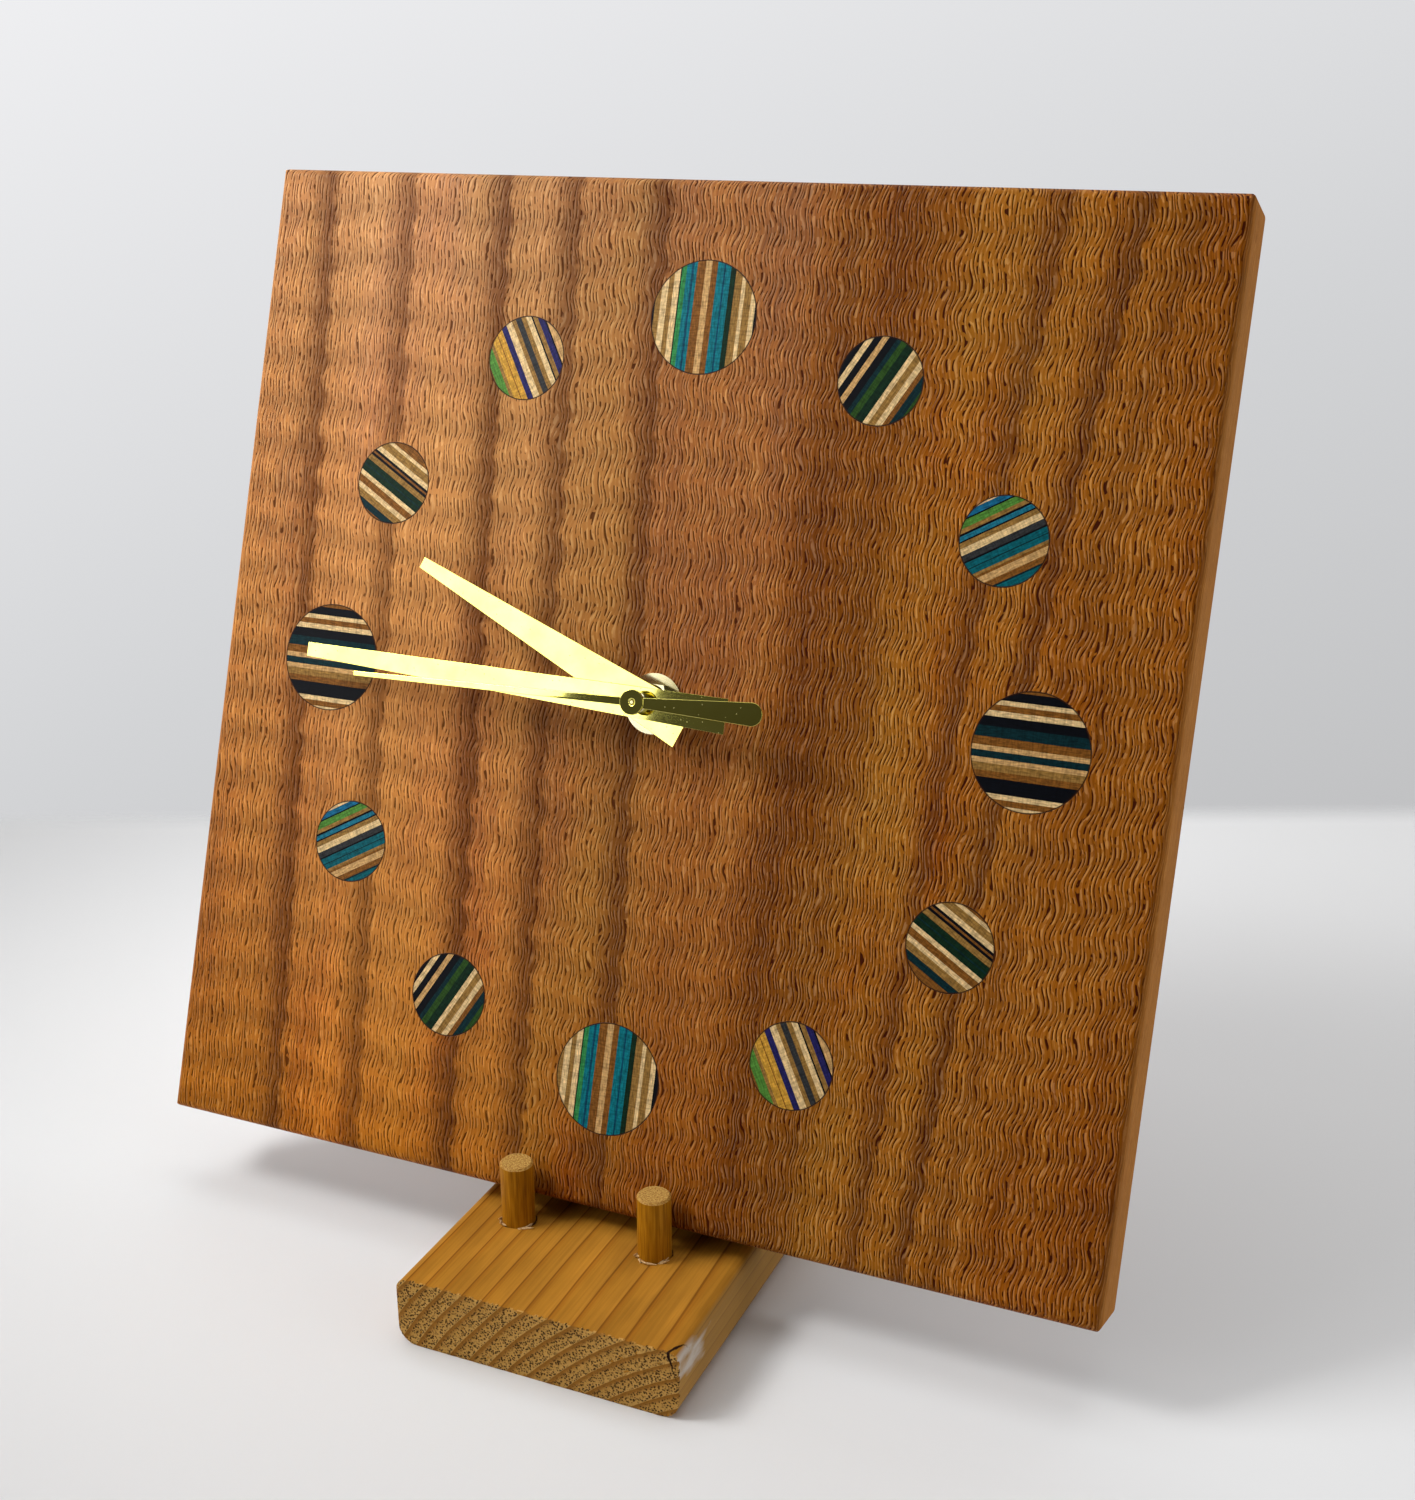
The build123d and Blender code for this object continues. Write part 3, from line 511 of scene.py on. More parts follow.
@dataclass(frozen=True)
class PlyInlayFinish:
    """Dyed maple plies, glued up and cut across: straight stripes with faint fibre marks.

    Plies are listed across the inlay with their widths in millimetres, clockwise across for the
    hours from twelve to five. The inlay opposite has the same strip, turned no further. The slip is
    how far the strip lies off the middle.
    """

    dial: DialFrame
    hour: int
    middle: Vector
    radius: float
    plies: tuple[tuple[Dye, float], ...]
    slip: float
    joint_width: float = 0.45
    joint_core: float = 0.15
    fleck_length: float = 2.4
    fleck_width: float = 0.45
    fleck_shade: Range = (0.55, 1.32)
    hatch_spacing: float = 0.6
    hatch_length: float = 3.0
    hatch_edge: Range = (0.35, 0.6)
    hatch_shade: Range = (0.74, 1.06)

    def build(self) -> Material:
        """Build the material of one inlay.

        Returns:
            The material.
        """
        material, add, shader = new_material(f"dyed maple plies, hour {self.hour:02d}")
        turn = 360 / HOURS * (self.hour % PATTERNS)
        place = self.dial.millimetres(add, self.middle, turn)
        axes = add("SeparateXYZ", (place,))
        whole = sum(width for _, width in self.plies)
        stops, passed = [], 0.0
        for dye, width in self.plies:
            stops.append((passed / whole, dye.value))
            passed += width
        share = add("MapRange", (axes["X"], self.slip - self.radius, self.slip + self.radius))[0]
        ply = add("ValToRGB", (share,), stops=stops, between="CONSTANT")[0]
        # Fibre flecks along the plies, and the cut fibres across them
        cell = (self.fleck_width, self.fleck_length, self.fleck_width)
        fleck = add("TexNoise", {"Vector": place, "Detail": 3.0}, cell=cell)[0]
        cell = (self.hatch_length, self.hatch_spacing, self.hatch_length)
        hatch = add("TexNoise", {"Vector": place, "Detail": 1.0}, cell=cell)[0]
        shade = add("MapRange", (fleck, *NOISE_SPAN, *self.fleck_shade))[0]
        lines = add("MapRange", (hatch, *self.hatch_edge, *self.hatch_shade))[0]
        shade = add("Math", (shade, lines), "MULTIPLY")[0]
        face = add("VectorMath", {0: ply, "Scale": shade}, "SCALE")[0]
        # The glue line round the edge
        flat = add("CombineXYZ", (axes["X"], axes["Y"]))[0]
        reach = add("VectorMath", (flat,), "LENGTH")["Value"]
        rim = add("MapRange", (reach, self.radius - self.joint_width, self.radius - self.joint_core))[0]
        face = add("Mix", {0: rim, 6: face, 7: "#2E170A"}, data_type="RGBA")[2]
        bump = add("Bump", {"Strength": 0.25, "Distance": 0.05 * MM, "Height": fleck})[0]
        fill(shader, {"Base Color": face, "Roughness": 0.38, "Specular IOR Level": 0.07, "Normal": bump})
        return material


@dataclass(frozen=True)
class SoftwoodFinish:
    """Fir stud, planed on its long sides and sawn on its ends: amber growth lines, stippled end grain.

    Sizes are in millimetres in the block's own axes.
    """

    half_width: float
    half_length: float
    height: float
    peg_middle: float
    peg_half_gap: float
    peg_rows: tuple[float, ...]
    hole_radius: float
    ring_spacing: float = 4.6
    ring_wander_cell: Triple = (45, 180, 45)
    ring_wander: float = 5.0
    pith_right: float = 95.0
    pith_drop: float = 85.0
    fibre_cell: Triple = (0.7, 30, 0.7)
    fibre_shade: Range = (0.86, 1.12)
    fibre_relief: float = 0.12
    stain_cell: Triple = (13, 26, 13)
    stain_shade: Range = (0.84, 1.14)
    clump_cell: Triple = (1.6, 6.0, 1.6)
    clump_edge: Range = (0.32, 0.46)
    late_from: Range = (0.72, 0.82)
    late_share: float = 0.15
    pit_cell: Triple = (0.70, 3.0, 0.70)
    pit_edge: Range = (0.34, 0.54)
    pit_share: float = 0.9
    pit_relief: float = 0.6
    rub_cell: Triple = (4, 14, 4)
    rub_depth: Range = (1.2, 0.3)
    rub_reach: Range = (8, 28)
    rub_height: Range = (0.35, 0.65)
    rub_edge: Range = (0.74, 1.0)
    rub_share: float = 0.45
    rim_inset: float = 0.9
    rim_fray: float = 2.6
    rim_edge: Range = (-0.15, 0.25)
    check_reach: float = 9.0
    check_inset: float = 3.2
    check_slope: float = 0.32
    check_fray: float = 1.4
    check_width: float = 0.55
    check_edge: Range = (-0.05, 0.15)
    sawn: bool = False

    def build(self) -> Material:
        """Build the block's material, for its planed sides or for its sawn ends.

        Returns:
            The material.
        """
        material, add, shader = new_material("fir, sawn end grain" if self.sawn else "fir, planed")
        place = millimetres(add)
        axes = add("SeparateXYZ", (place,))
        # Growth rings about a pith that lies far off, low on the right
        wander = add("TexNoise", {"Vector": place, "Detail": 1.0}, cell=self.ring_wander_cell)[0]
        rays = add("VectorMath", (place, (self.pith_right, 0.0, -self.pith_drop)), "SUBTRACT")[0]
        rays = add("VectorMath", (rays, (1, 0, 1)), "MULTIPLY")[0]
        ring = add("VectorMath", (rays,), "LENGTH")["Value"]
        ring = add("Math", (wander, self.ring_wander, ring), "MULTIPLY_ADD")[0]
        ring = add("Math", (ring, self.ring_spacing), "DIVIDE")[0]
        season = add("Math", (ring,), "FRACT")[0]
        clump = add("TexNoise", {"Vector": place, "Detail": 3.0}, cell=self.clump_cell)[0]
        if self.sawn:
            wood, relief = self.end_grain(add, place, season, clump)
            depth, gloss = self.pit_relief, 0.85
        else:
            wood, relief = self.long_grain(add, place, season)
            wood = self.smear(add, axes, place, wood)
            wood = self.peg_gap_shade(add, axes, clump, wood)
            depth, gloss = self.fibre_relief, 0.62
        wood = self.check(add, axes, clump, wood)
        bump = add("Bump", {"Strength": 0.5, "Distance": depth * MM, "Height": relief})[0]
        fill(shader, {"Base Color": wood, "Roughness": gloss, "Specular IOR Level": 0.08, "Normal": bump})
        return material

    def end_grain(self, add: Adder, place: Socket, season: Socket, clump: Socket) -> tuple[Socket, Socket]:
        """Rings cut across, torn into dark pits in their early wood.

        Args:
            add: Adds a node to the material.
            place: The block's coordinates, together.
            season: How far through a year's ring a point is.
            clump: A noise that gathers the pits.

        Returns:
            The colour and the relief.
        """
        wood = add("ValToRGB", (season,), stops=[
            (0.0, "#C0944F"), (0.60, "#B68842"), (0.80, "#946428"), (0.95, "#8A5B20"), (1.0, "#C0944F"),
        ])[0]
        pits = add("TexVoronoi", {"Vector": place}, cell=self.pit_cell)["Distance"]
        hole = add("MapRange", (pits, *self.pit_edge, 1.0, 0.0))[0]
        thick = add("MapRange", (clump, *self.clump_edge))[0]
        early = add("MapRange", (season, *self.late_from, 1.0, self.late_share))[0]
        thick = add("Math", (thick, early), "MULTIPLY")[0]
        hole = add("Math", (hole, thick), "MULTIPLY")[0]
        spot = add("Math", (hole, self.pit_share), "MULTIPLY")[0]
        wood = add("Mix", {0: spot, 6: wood, 7: "#2C1508"}, data_type="RGBA")[2]
        return wood, add("Math", (hole, -1.0, clump), "MULTIPLY_ADD")[0]

    def long_grain(self, add: Adder, place: Socket, season: Socket) -> tuple[Socket, Socket]:
        """Rings cut along, with long fibres and handling stains.

        Args:
            add: Adds a node to the material.
            place: The block's coordinates, together.
            season: How far through a year's ring a point is.

        Returns:
            The colour and the relief.
        """
        wood = add("ValToRGB", (season,), stops=[
            (0.0, "#A87325"), (0.70, "#A06C1F"), (0.90, "#976018"), (0.945, "#76460D"), (0.97, "#7A4A0F"),
            (1.0, "#A87325"),
        ])[0]
        fibre = add("TexNoise", {"Vector": place, "Detail": 3.0}, cell=self.fibre_cell)[0]
        stain = add("TexNoise", {"Vector": place, "Detail": 4.0}, cell=self.stain_cell)[0]
        shade = add("MapRange", (fibre, *NOISE_SPAN, *self.fibre_shade))[0]
        stain = add("MapRange", (stain, *NOISE_SPAN, *self.stain_shade))[0]
        shade = add("Math", (shade, stain), "MULTIPLY")[0]
        return add("VectorMath", {0: wood, "Scale": shade}, "SCALE")[0], fibre

    def smear(self, add: Adder, axes: Outputs, place: Socket, wood: Socket) -> Socket:
        """Pale filler rubbed along the front of the right side.

        Args:
            add: Adds a node to the material.
            axes: The block's coordinates, apart.
            place: The block's coordinates, together.
            wood: The colour under the filler.

        Returns:
            The colour with the filler on it.
        """
        rub = add("TexNoise", {"Vector": place, "Detail": 4.0}, cell=self.rub_cell)[0]
        side = add("MapRange", (axes["X"], *(self.half_width - depth for depth in self.rub_depth)))[0]
        reach = (back - self.half_length for back in self.rub_reach)
        front = add("MapRange", (axes["Y"], *reach, self.rub_share, 0.0))[0]
        raised = add("MapRange", (axes["Z"], *(share * self.height for share in self.rub_height)))[0]
        front = add("Math", (front, raised), "MULTIPLY")[0]
        cover = add("Math", (rub, front), "ADD")[0]
        cover = add("MapRange", (cover, *self.rub_edge))[0]
        cover = add("Math", (cover, side), "MULTIPLY")[0]
        pale_wash = add("Math", (side, self.rub_share), "MULTIPLY")[0]
        wood = add("Mix", {0: pale_wash, 6: wood, 7: "#A98A54"}, data_type="RGBA")[2]
        return add("Mix", {0: cover, 6: wood, 7: "#C2B8AC"}, data_type="RGBA")[2]

    def peg_gap_shade(self, add: Adder, axes: Outputs, rough: Socket, wood: Socket) -> Socket:
        """Painted shade in the gap round each peg, which is not modelled.

        Args:
            add: Adds a node to the material.
            axes: The block's coordinates, apart.
            rough: A noise that frays the rims.
            wood: The colour of the clean face.

        Returns:
            The colour with the painted shade round the pegs on it.
        """
        off = add("Math", (axes["X"], self.peg_middle), "SUBTRACT")[0]
        off = add("Math", (off,), "ABSOLUTE")[0]
        off = add("Math", (off, self.peg_half_gap), "SUBTRACT")[0]
        start = self.hole_radius - self.rim_inset
        frayed = add("Math", (rough, self.rim_fray, start), "MULTIPLY_ADD")[0]
        for row in self.peg_rows:
            along = add("Math", (axes["Y"], row), "SUBTRACT")[0]
            spot = add("CombineXYZ", (off, along))[0]
            reach = add("VectorMath", (spot,), "LENGTH")["Value"]
            inside = add("Math", (frayed, reach), "SUBTRACT")[0]
            dark = add("MapRange", (inside, *self.rim_edge))[0]
            wood = add("Mix", {0: dark, 6: wood, 7: "#3A200C"}, data_type="RGBA")[2]
        return wood

    def check(self, add: Adder, axes: Outputs, rough: Socket, wood: Socket) -> Socket:
        """The drying check at the front of the top right edge, as a slanting plane through the wood.

        Args:
            add: Adds a node to the material.
            axes: The block's coordinates, apart.
            rough: A noise that makes the check ragged.
            wood: The colour beside the check.

        Returns:
            The colour with the check's shade painted in it.
        """
        back = add("Math", (axes["Y"], self.half_length), "ADD")[0]
        drop = add("Math", (self.height, axes["Z"]), "SUBTRACT")[0]
        far = add("Math", (back, drop), "ADD")[0]
        start = self.half_width - self.check_inset
        line = add("Math", (far, self.check_slope, start), "MULTIPLY_ADD")[0]
        line = add("Math", (rough, self.check_fray, line), "MULTIPLY_ADD")[0]
        gap = add("Math", (axes["X"], line), "SUBTRACT")[0]
        gap = add("Math", (gap, self.check_fray / 2), "ADD")[0]
        gap = add("Math", (gap,), "ABSOLUTE")[0]
        slim = add("MapRange", (far, 0.0, self.check_reach, self.check_width, 0.0))[0]
        inside = add("Math", (slim, gap), "SUBTRACT")[0]
        dark = add("MapRange", (inside, *self.check_edge))[0]
        # The check is real, but its gap is not modelled: the shade inside it is painted dark
        return add("Mix", {0: dark, 6: wood, 7: "#24120A"}, data_type="RGBA")[2]


@dataclass(frozen=True)
class DowelFinish:
    """Turned hardwood dowel, oiled: amber sides with long fibres, and paler cut ends."""

    fibre_cell: Triple = (0.7, 0.7, 14.0)
    speck_cell: Triple = (0.5, 0.5, 0.5)
    cut_from: Range = (0.4, 0.8)

    def build(self) -> Material:
        """Build the pegs' material.

        Returns:
            The material.
        """
        material, add, shader = new_material("hardwood dowel, turned")
        place = millimetres(add)
        fibre = add("TexNoise", {"Vector": place, "Detail": 3.0}, cell=self.fibre_cell)[0]
        side = add("ValToRGB", (fibre,), stops=[(0.3, "#7C4A04"), (0.5, "#9E6608"), (0.7, "#B87E18")])[0]
        specks = add("TexNoise", {"Vector": place, "Detail": 2.0}, cell=self.speck_cell)[0]
        end = add("ValToRGB", (specks,), stops=[(0.35, "#875C28"), (0.6, "#B9934F")])[0]
        facing = add("SeparateXYZ", (add("TexCoord")["Normal"],))["Z"]
        cut = add("MapRange", (facing, *self.cut_from))[0]
        face = add("Mix", {0: cut, 6: side, 7: end}, data_type="RGBA")[2]
        bump = add("Bump", {"Strength": 0.4, "Distance": 0.1 * MM, "Height": fibre})[0]
        fill(shader, {"Base Color": face, "Roughness": 0.55, "Specular IOR Level": 0.08, "Normal": bump})
        return material


@dataclass(frozen=True)
class BrassFinish:
    """Brass sheet, polished and lacquered: a mirror with faint wipe marks and settled dust.

    The bow is how far the sheet's shine is turned to the right, in degrees.
    """

    name: str = "brass, polished"
    low: str = "#ECE172"
    high: str = "#F3EC84"
    roughness: float = 0.035
    bow: float = 0.0
    dust_cell: Triple = (1.9, 1.9, 1.9)
    dust_share: float = 0.10
    dust_core: float = 0.6
    dust_gloss: float = 0.5
    wipe_cell: Triple = (9, 9, 9)
    wipe_gloss: Range = (0.8, 1.3)

    def build(self) -> Material:
        """Build the brass.

        Returns:
            The material.
        """
        material, add, shader = new_material(self.name)
        place = millimetres(add)
        dust = add("TexVoronoi", {"Vector": place}, cell=self.dust_cell)["Distance"]
        dust = add("MapRange", (dust, self.dust_share * self.dust_core, self.dust_share, 1.0, 0.0))[0]
        wipe = add("TexNoise", {"Vector": place, "Detail": 4.0}, cell=self.wipe_cell)[0]
        metal = add("ValToRGB", (wipe,), stops=list(zip(NOISE_SPAN, (self.low, self.high))))[0]
        face = add("Mix", {0: dust, 6: metal, 7: "#8E8658"}, data_type="RGBA")[2]
        haze = (self.roughness * share for share in self.wipe_gloss)
        haze = add("MapRange", (wipe, *NOISE_SPAN, *haze))[0]
        gloss = add("Math", (dust, self.dust_gloss, haze), "MULTIPLY_ADD")[0]
        turn = (math.tan(math.radians(self.bow)), 0.0, 0.0)
        facing = add("VectorMath", (add("NewGeometry")["Normal"], turn), "ADD")[0]
        facing = add("VectorMath", (facing,), "NORMALIZE")[0]
        fill(shader, {"Base Color": face, "Metallic": 1.0, "Roughness": gloss, "Normal": facing})
        return material


@dataclass(frozen=True)
class MouldedFinish:
    """An injection-moulded, rolled or sheathed surface: one colour, broken up by a fine even grain.

    The grain is drawn no finer than shows from a hand's breadth away.
    """

    name: str
    low: str
    high: str
    roughness: float
    grain: float = 0.6
    relief: float = 0.02
    metallic: float = 0.0
    stretch: float = 1.0
    grain_gloss: Range = (0.8, 1.2)

    def build(self) -> Material:
        """Build the material.

        Returns:
            The material.
        """
        material, add, shader = new_material(self.name)
        cell = (self.grain * self.stretch, self.grain, self.grain)
        grain = add("TexNoise", {"Vector": millimetres(add), "Detail": 2.0}, cell=cell)[0]
        tint = add("ValToRGB", (grain,), stops=[(0.35, self.low), (0.65, self.high)])[0]
        gloss = (self.roughness * share for share in self.grain_gloss)
        gloss = add("MapRange", (grain, 0.0, 1.0, *gloss))[0]
        bump = add("Bump", {"Strength": 0.4, "Distance": self.relief * MM, "Height": grain})[0]
        fill(shader, {"Base Color": tint, "Metallic": self.metallic, "Roughness": gloss, "Normal": bump})
        return material


def dress(node: str, material: Material) -> None:
    """Give a CAD node its finish.

    Args:
        node: The node's name.
        material: The finish.
    """
    slots = frame["nodes"][node].data.materials
    slots.clear()
    slots.append(material)
    LOG.info("%s dressed in %s", node, material.name)


def put(name: str, data: bpy.types.ID) -> bpy.types.Object:
    """Put a mesh, lamp or camera in the scene.

    Args:
        name: The object's name.
        data: The mesh, lamp or camera.

    Returns:
        The new object.
    """
    item = bpy.data.objects.new(name, data)
    bpy.context.scene.collection.objects.link(item)
    return item


def make_piece(
    name: str, shape: bmesh.types.BMesh, body: str, material: Material, crease: float = 35.0
) -> bpy.types.Object:
    """Turn a modelled shape into a piece that rides on a body.

    Args:
        name: The piece's name.
        shape: The modelled shape, which is used up.
        body: The body that carries the piece.
        material: The finish.
        crease: The angle past which an edge stays sharp, in degrees.

    Returns:
        The new piece.
    """
    mesh = bpy.data.meshes.new(name)
    shape.to_mesh(mesh)
    shape.free()
    mesh.materials.append(material)
    mesh.shade_smooth()
    mesh.set_sharp_from_angle(angle=math.radians(crease))
    piece = put(name, mesh)
    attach(piece, body)
    LOG.info("%s made with %d faces", name, len(mesh.polygons))
    return piece


@dataclass
class DialBoard:
    """The figured board and its twelve striped inlays, cut with a little slip along the strip."""

    dial: DialFrame
    quarter_radius: float = 16.7
    hour_radius: float = 12.7
    slips: tuple[float, ...] = (0, 0, 0, 0, 0, -0.7, -0.75, 0.35, 0.25, 1.8, 0.3, 0)

    def plies(self) -> tuple[tuple[tuple[Dye, float], ...], ...]:
        """The six laminations, for the hours from twelve to five.

        Returns:
            Each lamination's dyes, with their widths across in millimetres.
        """
        d = Dye
        return (
            (
                (d.NAVY, 0.7), (d.TAN, 1.7), (d.CREAM, 2.0), (d.TAN, 1.6), (d.CREAM, 1.7),
                (d.FOREST, 0.4), (d.JADE, 1.5), (d.TEAL, 1.5), (d.PETROL, 0.7), (d.TEAL, 1.1),
                (d.BROWN, 2.5), (d.PALE_TAN, 2.0), (d.BROWN, 1.9), (d.TEAL, 2.0), (d.PETROL, 0.6),
                (d.TEAL, 1.6), (d.FOREST, 1.8), (d.TAN, 2.1), (d.CREAM, 1.3), (d.TAN, 2.2),
                (d.CREAM, 1.5), (d.NAVY, 1.0),
            ),
            (
                (d.NAVY, 2.0), (d.CREAM, 1.7), (d.NAVY, 2.0), (d.PALE_TAN, 1.7), (d.NAVY, 2.2),
                (d.DEEP_TEAL, 1.4), (d.OLIVE, 1.8), (d.FOREST, 2.6), (d.CREAM, 1.5), (d.TAN, 2.0),
                (d.CREAM, 1.7), (d.BROWN, 1.5), (d.DEEP_TEAL, 2.2), (d.OLIVE, 1.1),
            ),
            (
                (d.CREAM, 0.6), (d.BLUE, 1.7), (d.NAVY, 0.4), (d.GREEN, 2.0), (d.TAN, 1.2), (d.NAVY, 0.6),
                (d.SKY, 1.3), (d.NAVY, 0.4), (d.TAN, 1.5), (d.CREAM, 1.9), (d.SLATE, 1.7), (d.NAVY, 0.5),
                (d.LAGOON, 1.7), (d.DEEP_TEAL, 0.3), (d.LAGOON, 1.6), (d.TAN, 0.8), (d.BROWN, 0.7),
                (d.PALE_TAN, 2.0), (d.BROWN, 1.7), (d.DEEP_TEAL, 0.5), (d.LAGOON, 2.3),
            ),
            (
                (d.BROWN, 1.0), (d.NAVY, 2.4), (d.CREAM, 1.4), (d.BROWN, 1.7), (d.CREAM, 1.5),
                (d.NAVY, 2.8), (d.DEEP_TEAL, 3.0), (d.BROWN, 2.3), (d.PALE_TAN, 1.4), (d.DEEP_TEAL, 2.0),
                (d.PALE_TAN, 1.4), (d.TAN, 2.1), (d.BROWN, 1.9), (d.NAVY, 4.1), (d.CREAM, 1.4),
                (d.BROWN, 1.7), (d.CREAM, 1.3),
            ),
            (
                (d.BROWN, 0.9), (d.CREAM, 1.1), (d.TAN, 2.3), (d.CREAM, 1.6), (d.NAVY, 0.8),
                (d.BROWN, 0.6), (d.NAVY, 0.8), (d.TAN, 1.7), (d.FOREST, 1.7), (d.DEEP_TEAL, 0.4),
                (d.FOREST, 1.7), (d.CREAM, 1.4), (d.BROWN, 2.1), (d.CREAM, 1.5), (d.TAN, 2.1),
                (d.DEEP_TEAL, 2.1), (d.BROWN, 2.6),
            ),
            (
                (d.PALE_TAN, 2.0), (d.NAVY, 0.5), (d.VIOLET, 1.8), (d.TAN, 1.4), (d.NAVY, 0.5),
                (d.CREAM, 1.7), (d.TAN, 1.5), (d.SLATE, 1.9), (d.TAN, 1.4), (d.CREAM, 2.0),
                (d.VIOLET, 1.9), (d.ORANGE, 1.8), (d.BROWN, 0.3), (d.ORANGE, 2.0), (d.TAN, 1.1),
                (d.GREEN, 2.7), (d.BROWN, 0.9),
            ),
        )

    def dress(self) -> None:
        """Dress the board, and each inlay in the plies of its hour."""
        dress("face_board", CurlyOakFinish(self.dial).build())
        laminations = self.plies()
        for hour in range(1, HOURS + 1):
            node = f"inlay_{hour:02d}"
            low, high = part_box(node)
            radius = self.quarter_radius if hour % 3 == 0 else self.hour_radius
            plies = laminations[hour % PATTERNS]
            finish = PlyInlayFinish(self.dial, hour, (low + high) / 2, radius, plies, self.slips[hour - 1])
            dress(node, finish.build())


@dataclass
class Stand:
    """The softwood block with its sawn ends, its pegs and the torn fibres at their feet."""

    body: str = "stand"
    end_cell: float = 0.75
    end_depth: float = 0.6
    relief: float = 0.35
    relief_base: float = 0.6
    relief_pitch: float = 0.55
    relief_fractal: tuple[float, float, int] = (0.8, 2.0, 4)
    ragged: float = 0.30
    ragged_pitch: float = 1.3
    top_radius: float = 3.5
    foot_radius: float = 6.0
    fibre_count: int = 9
    fibre_length: float = 4.2
    fibre_share: Range = (0.4, 1.0)
    fibre_arc: Range = (195, 335)
    fibre_lift: Range = (2, 30)
    fibre_swing: float = 35
    fibre_gap: float = 0.35
    fibre_out: float = 0.4
    fibre_radii: Range = (0.5, 0.12)
    seed: int = 7

    def finish(self, sawn: bool) -> SoftwoodFinish:
        """The block's finish, with its sizes read from the CAD nodes.

        Args:
            sawn: Whether it is the sawn end.

        Returns:
            The finish.
        """
        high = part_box("stand_block")[1]
        left, right, rear = (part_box(n) for n in ("front_peg_left", "front_peg_right", "rear_peg_left"))
        left_x, right_x = ((b[0].x + b[1].x) / 2 / MM for b in (left, right))
        rows = tuple((b[0].y + b[1].y) / 2 / MM for b in (left, rear))
        return SoftwoodFinish(
            half_width=high.x / MM, half_length=high.y / MM, height=high.z / MM,
            peg_middle=(left_x + right_x) / 2, peg_half_gap=(right_x - left_x) / 2, peg_rows=rows,
            hole_radius=(left[1].x - left[0].x) / 2 / MM, sawn=sawn,
        )

    def sawn_end(self, name: str, turn: float, material: Material) -> bpy.types.Object:
        """Model the rough face of a sawn end.

        Args:
            name: The piece's name.
            turn: How far the end is turned from the front, in degrees.
            material: The end grain's finish.

        Returns:
            The piece.
        """
        low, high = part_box("stand_block")
        width, height = high.x - low.x, high.z - low.z
        columns, rows = (round(span / MM / self.end_cell) for span in (width, height))
        shape = bmesh.new()
        bmesh.ops.create_grid(shape, x_segments=columns, y_segments=rows, size=0.5)
        bmesh.ops.scale(shape, vec=(width, height, 1), verts=shape.verts)
        for vert in shape.verts:
            radius = (self.top_radius if vert.co.y > 0 else self.foot_radius) * MM
            over = Vector((abs(vert.co.x) - width / 2 + radius, abs(vert.co.y) - height / 2 + radius))
            if over.x > 0 and over.y > 0:
                pull = over * (1 - max(over) / over.length)
                vert.co.x -= math.copysign(pull.x, vert.co.x)
                vert.co.y -= math.copysign(pull.y, vert.co.y)
        rim = {vert for edge in shape.edges if edge.is_boundary for vert in edge.verts}
        for vert in shape.verts:
            spot = vert.co / MM
            rough = noise.fractal(spot * self.relief_pitch, *self.relief_fractal)
            vert.co.z = self.relief * MM * (0.0 if vert in rim else self.relief_base + rough)
            if vert in rim:
                reach = self.ragged * MM * noise.noise(spot * self.ragged_pitch)
                vert.co += Vector((vert.co.x / width, vert.co.y / height, 0)) * reach
        edges = [edge for edge in shape.edges if edge.is_boundary]
        pushed = bmesh.ops.extrude_edge_only(shape, edges=edges)["geom"]
        back = [item for item in pushed if isinstance(item, bmesh.types.BMVert)]
        bmesh.ops.translate(shape, vec=(0, 0, -self.end_depth * MM), verts=back)
        bmesh.ops.contextual_create(shape, geom=[e for e in shape.edges if e.is_boundary])
        upright = Matrix.Rotation(math.radians(90), 3, "X")
        bmesh.ops.rotate(shape, cent=(0, 0, 0), matrix=upright, verts=shape.verts)
        bmesh.ops.translate(shape, vec=((low.x + high.x) / 2, low.y, (low.z + high.z) / 2), verts=shape.verts)
        for vert in shape.verts:
            vert.co.z = max(vert.co.z, low.z)
        about = Matrix.Rotation(math.radians(turn), 3, "Z")
        bmesh.ops.rotate(shape, cent=(low + high) / 2, matrix=about, verts=shape.verts)
        bmesh.ops.recalc_face_normals(shape, faces=shape.faces)
        return make_piece(name, shape, self.body, material, crease=60)

    def torn_fibres(self, node: str, material: Material) -> bpy.types.Object:
        """Model the fibres that the drill tore up round a peg's foot.

        Args:
            node: The peg's node.
            material: The fibres' finish.

        Returns:
            The piece.
        """
        chance = random.Random(f"{self.seed}{node}")
        low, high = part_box(node)
        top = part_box("stand_block")[1].z
        middle, radius = (low + high) / 2, (high.x - low.x) / 2
        shape = bmesh.new()
        for _ in range(self.fibre_count):
            angle = math.radians(chance.uniform(*self.fibre_arc))
            length = self.fibre_length * MM * chance.uniform(*self.fibre_share)
            lift = math.radians(chance.uniform(*self.fibre_lift))
            swing = angle + math.radians(90 + chance.uniform(-self.fibre_swing, self.fibre_swing))
            level = math.cos(lift)
            heading = Vector((math.cos(swing) * level, math.sin(swing) * level, math.sin(lift)))
            foot = Vector((math.cos(angle), math.sin(angle), 0)) * (radius + self.fibre_gap * MM)
            centre = Vector((middle.x, middle.y, top)) + foot + heading * length * self.fibre_out
            turn = heading.to_track_quat("Z", "Y").to_matrix().to_4x4()
            root, tip = (reach * MM for reach in self.fibre_radii)
            bmesh.ops.create_cone(
                shape, cap_ends=True, segments=5, radius1=root, radius2=tip, depth=length,
                matrix=Matrix.Translation(centre) @ turn,
            )
        return make_piece(node + "_fibres", shape, self.body, material)

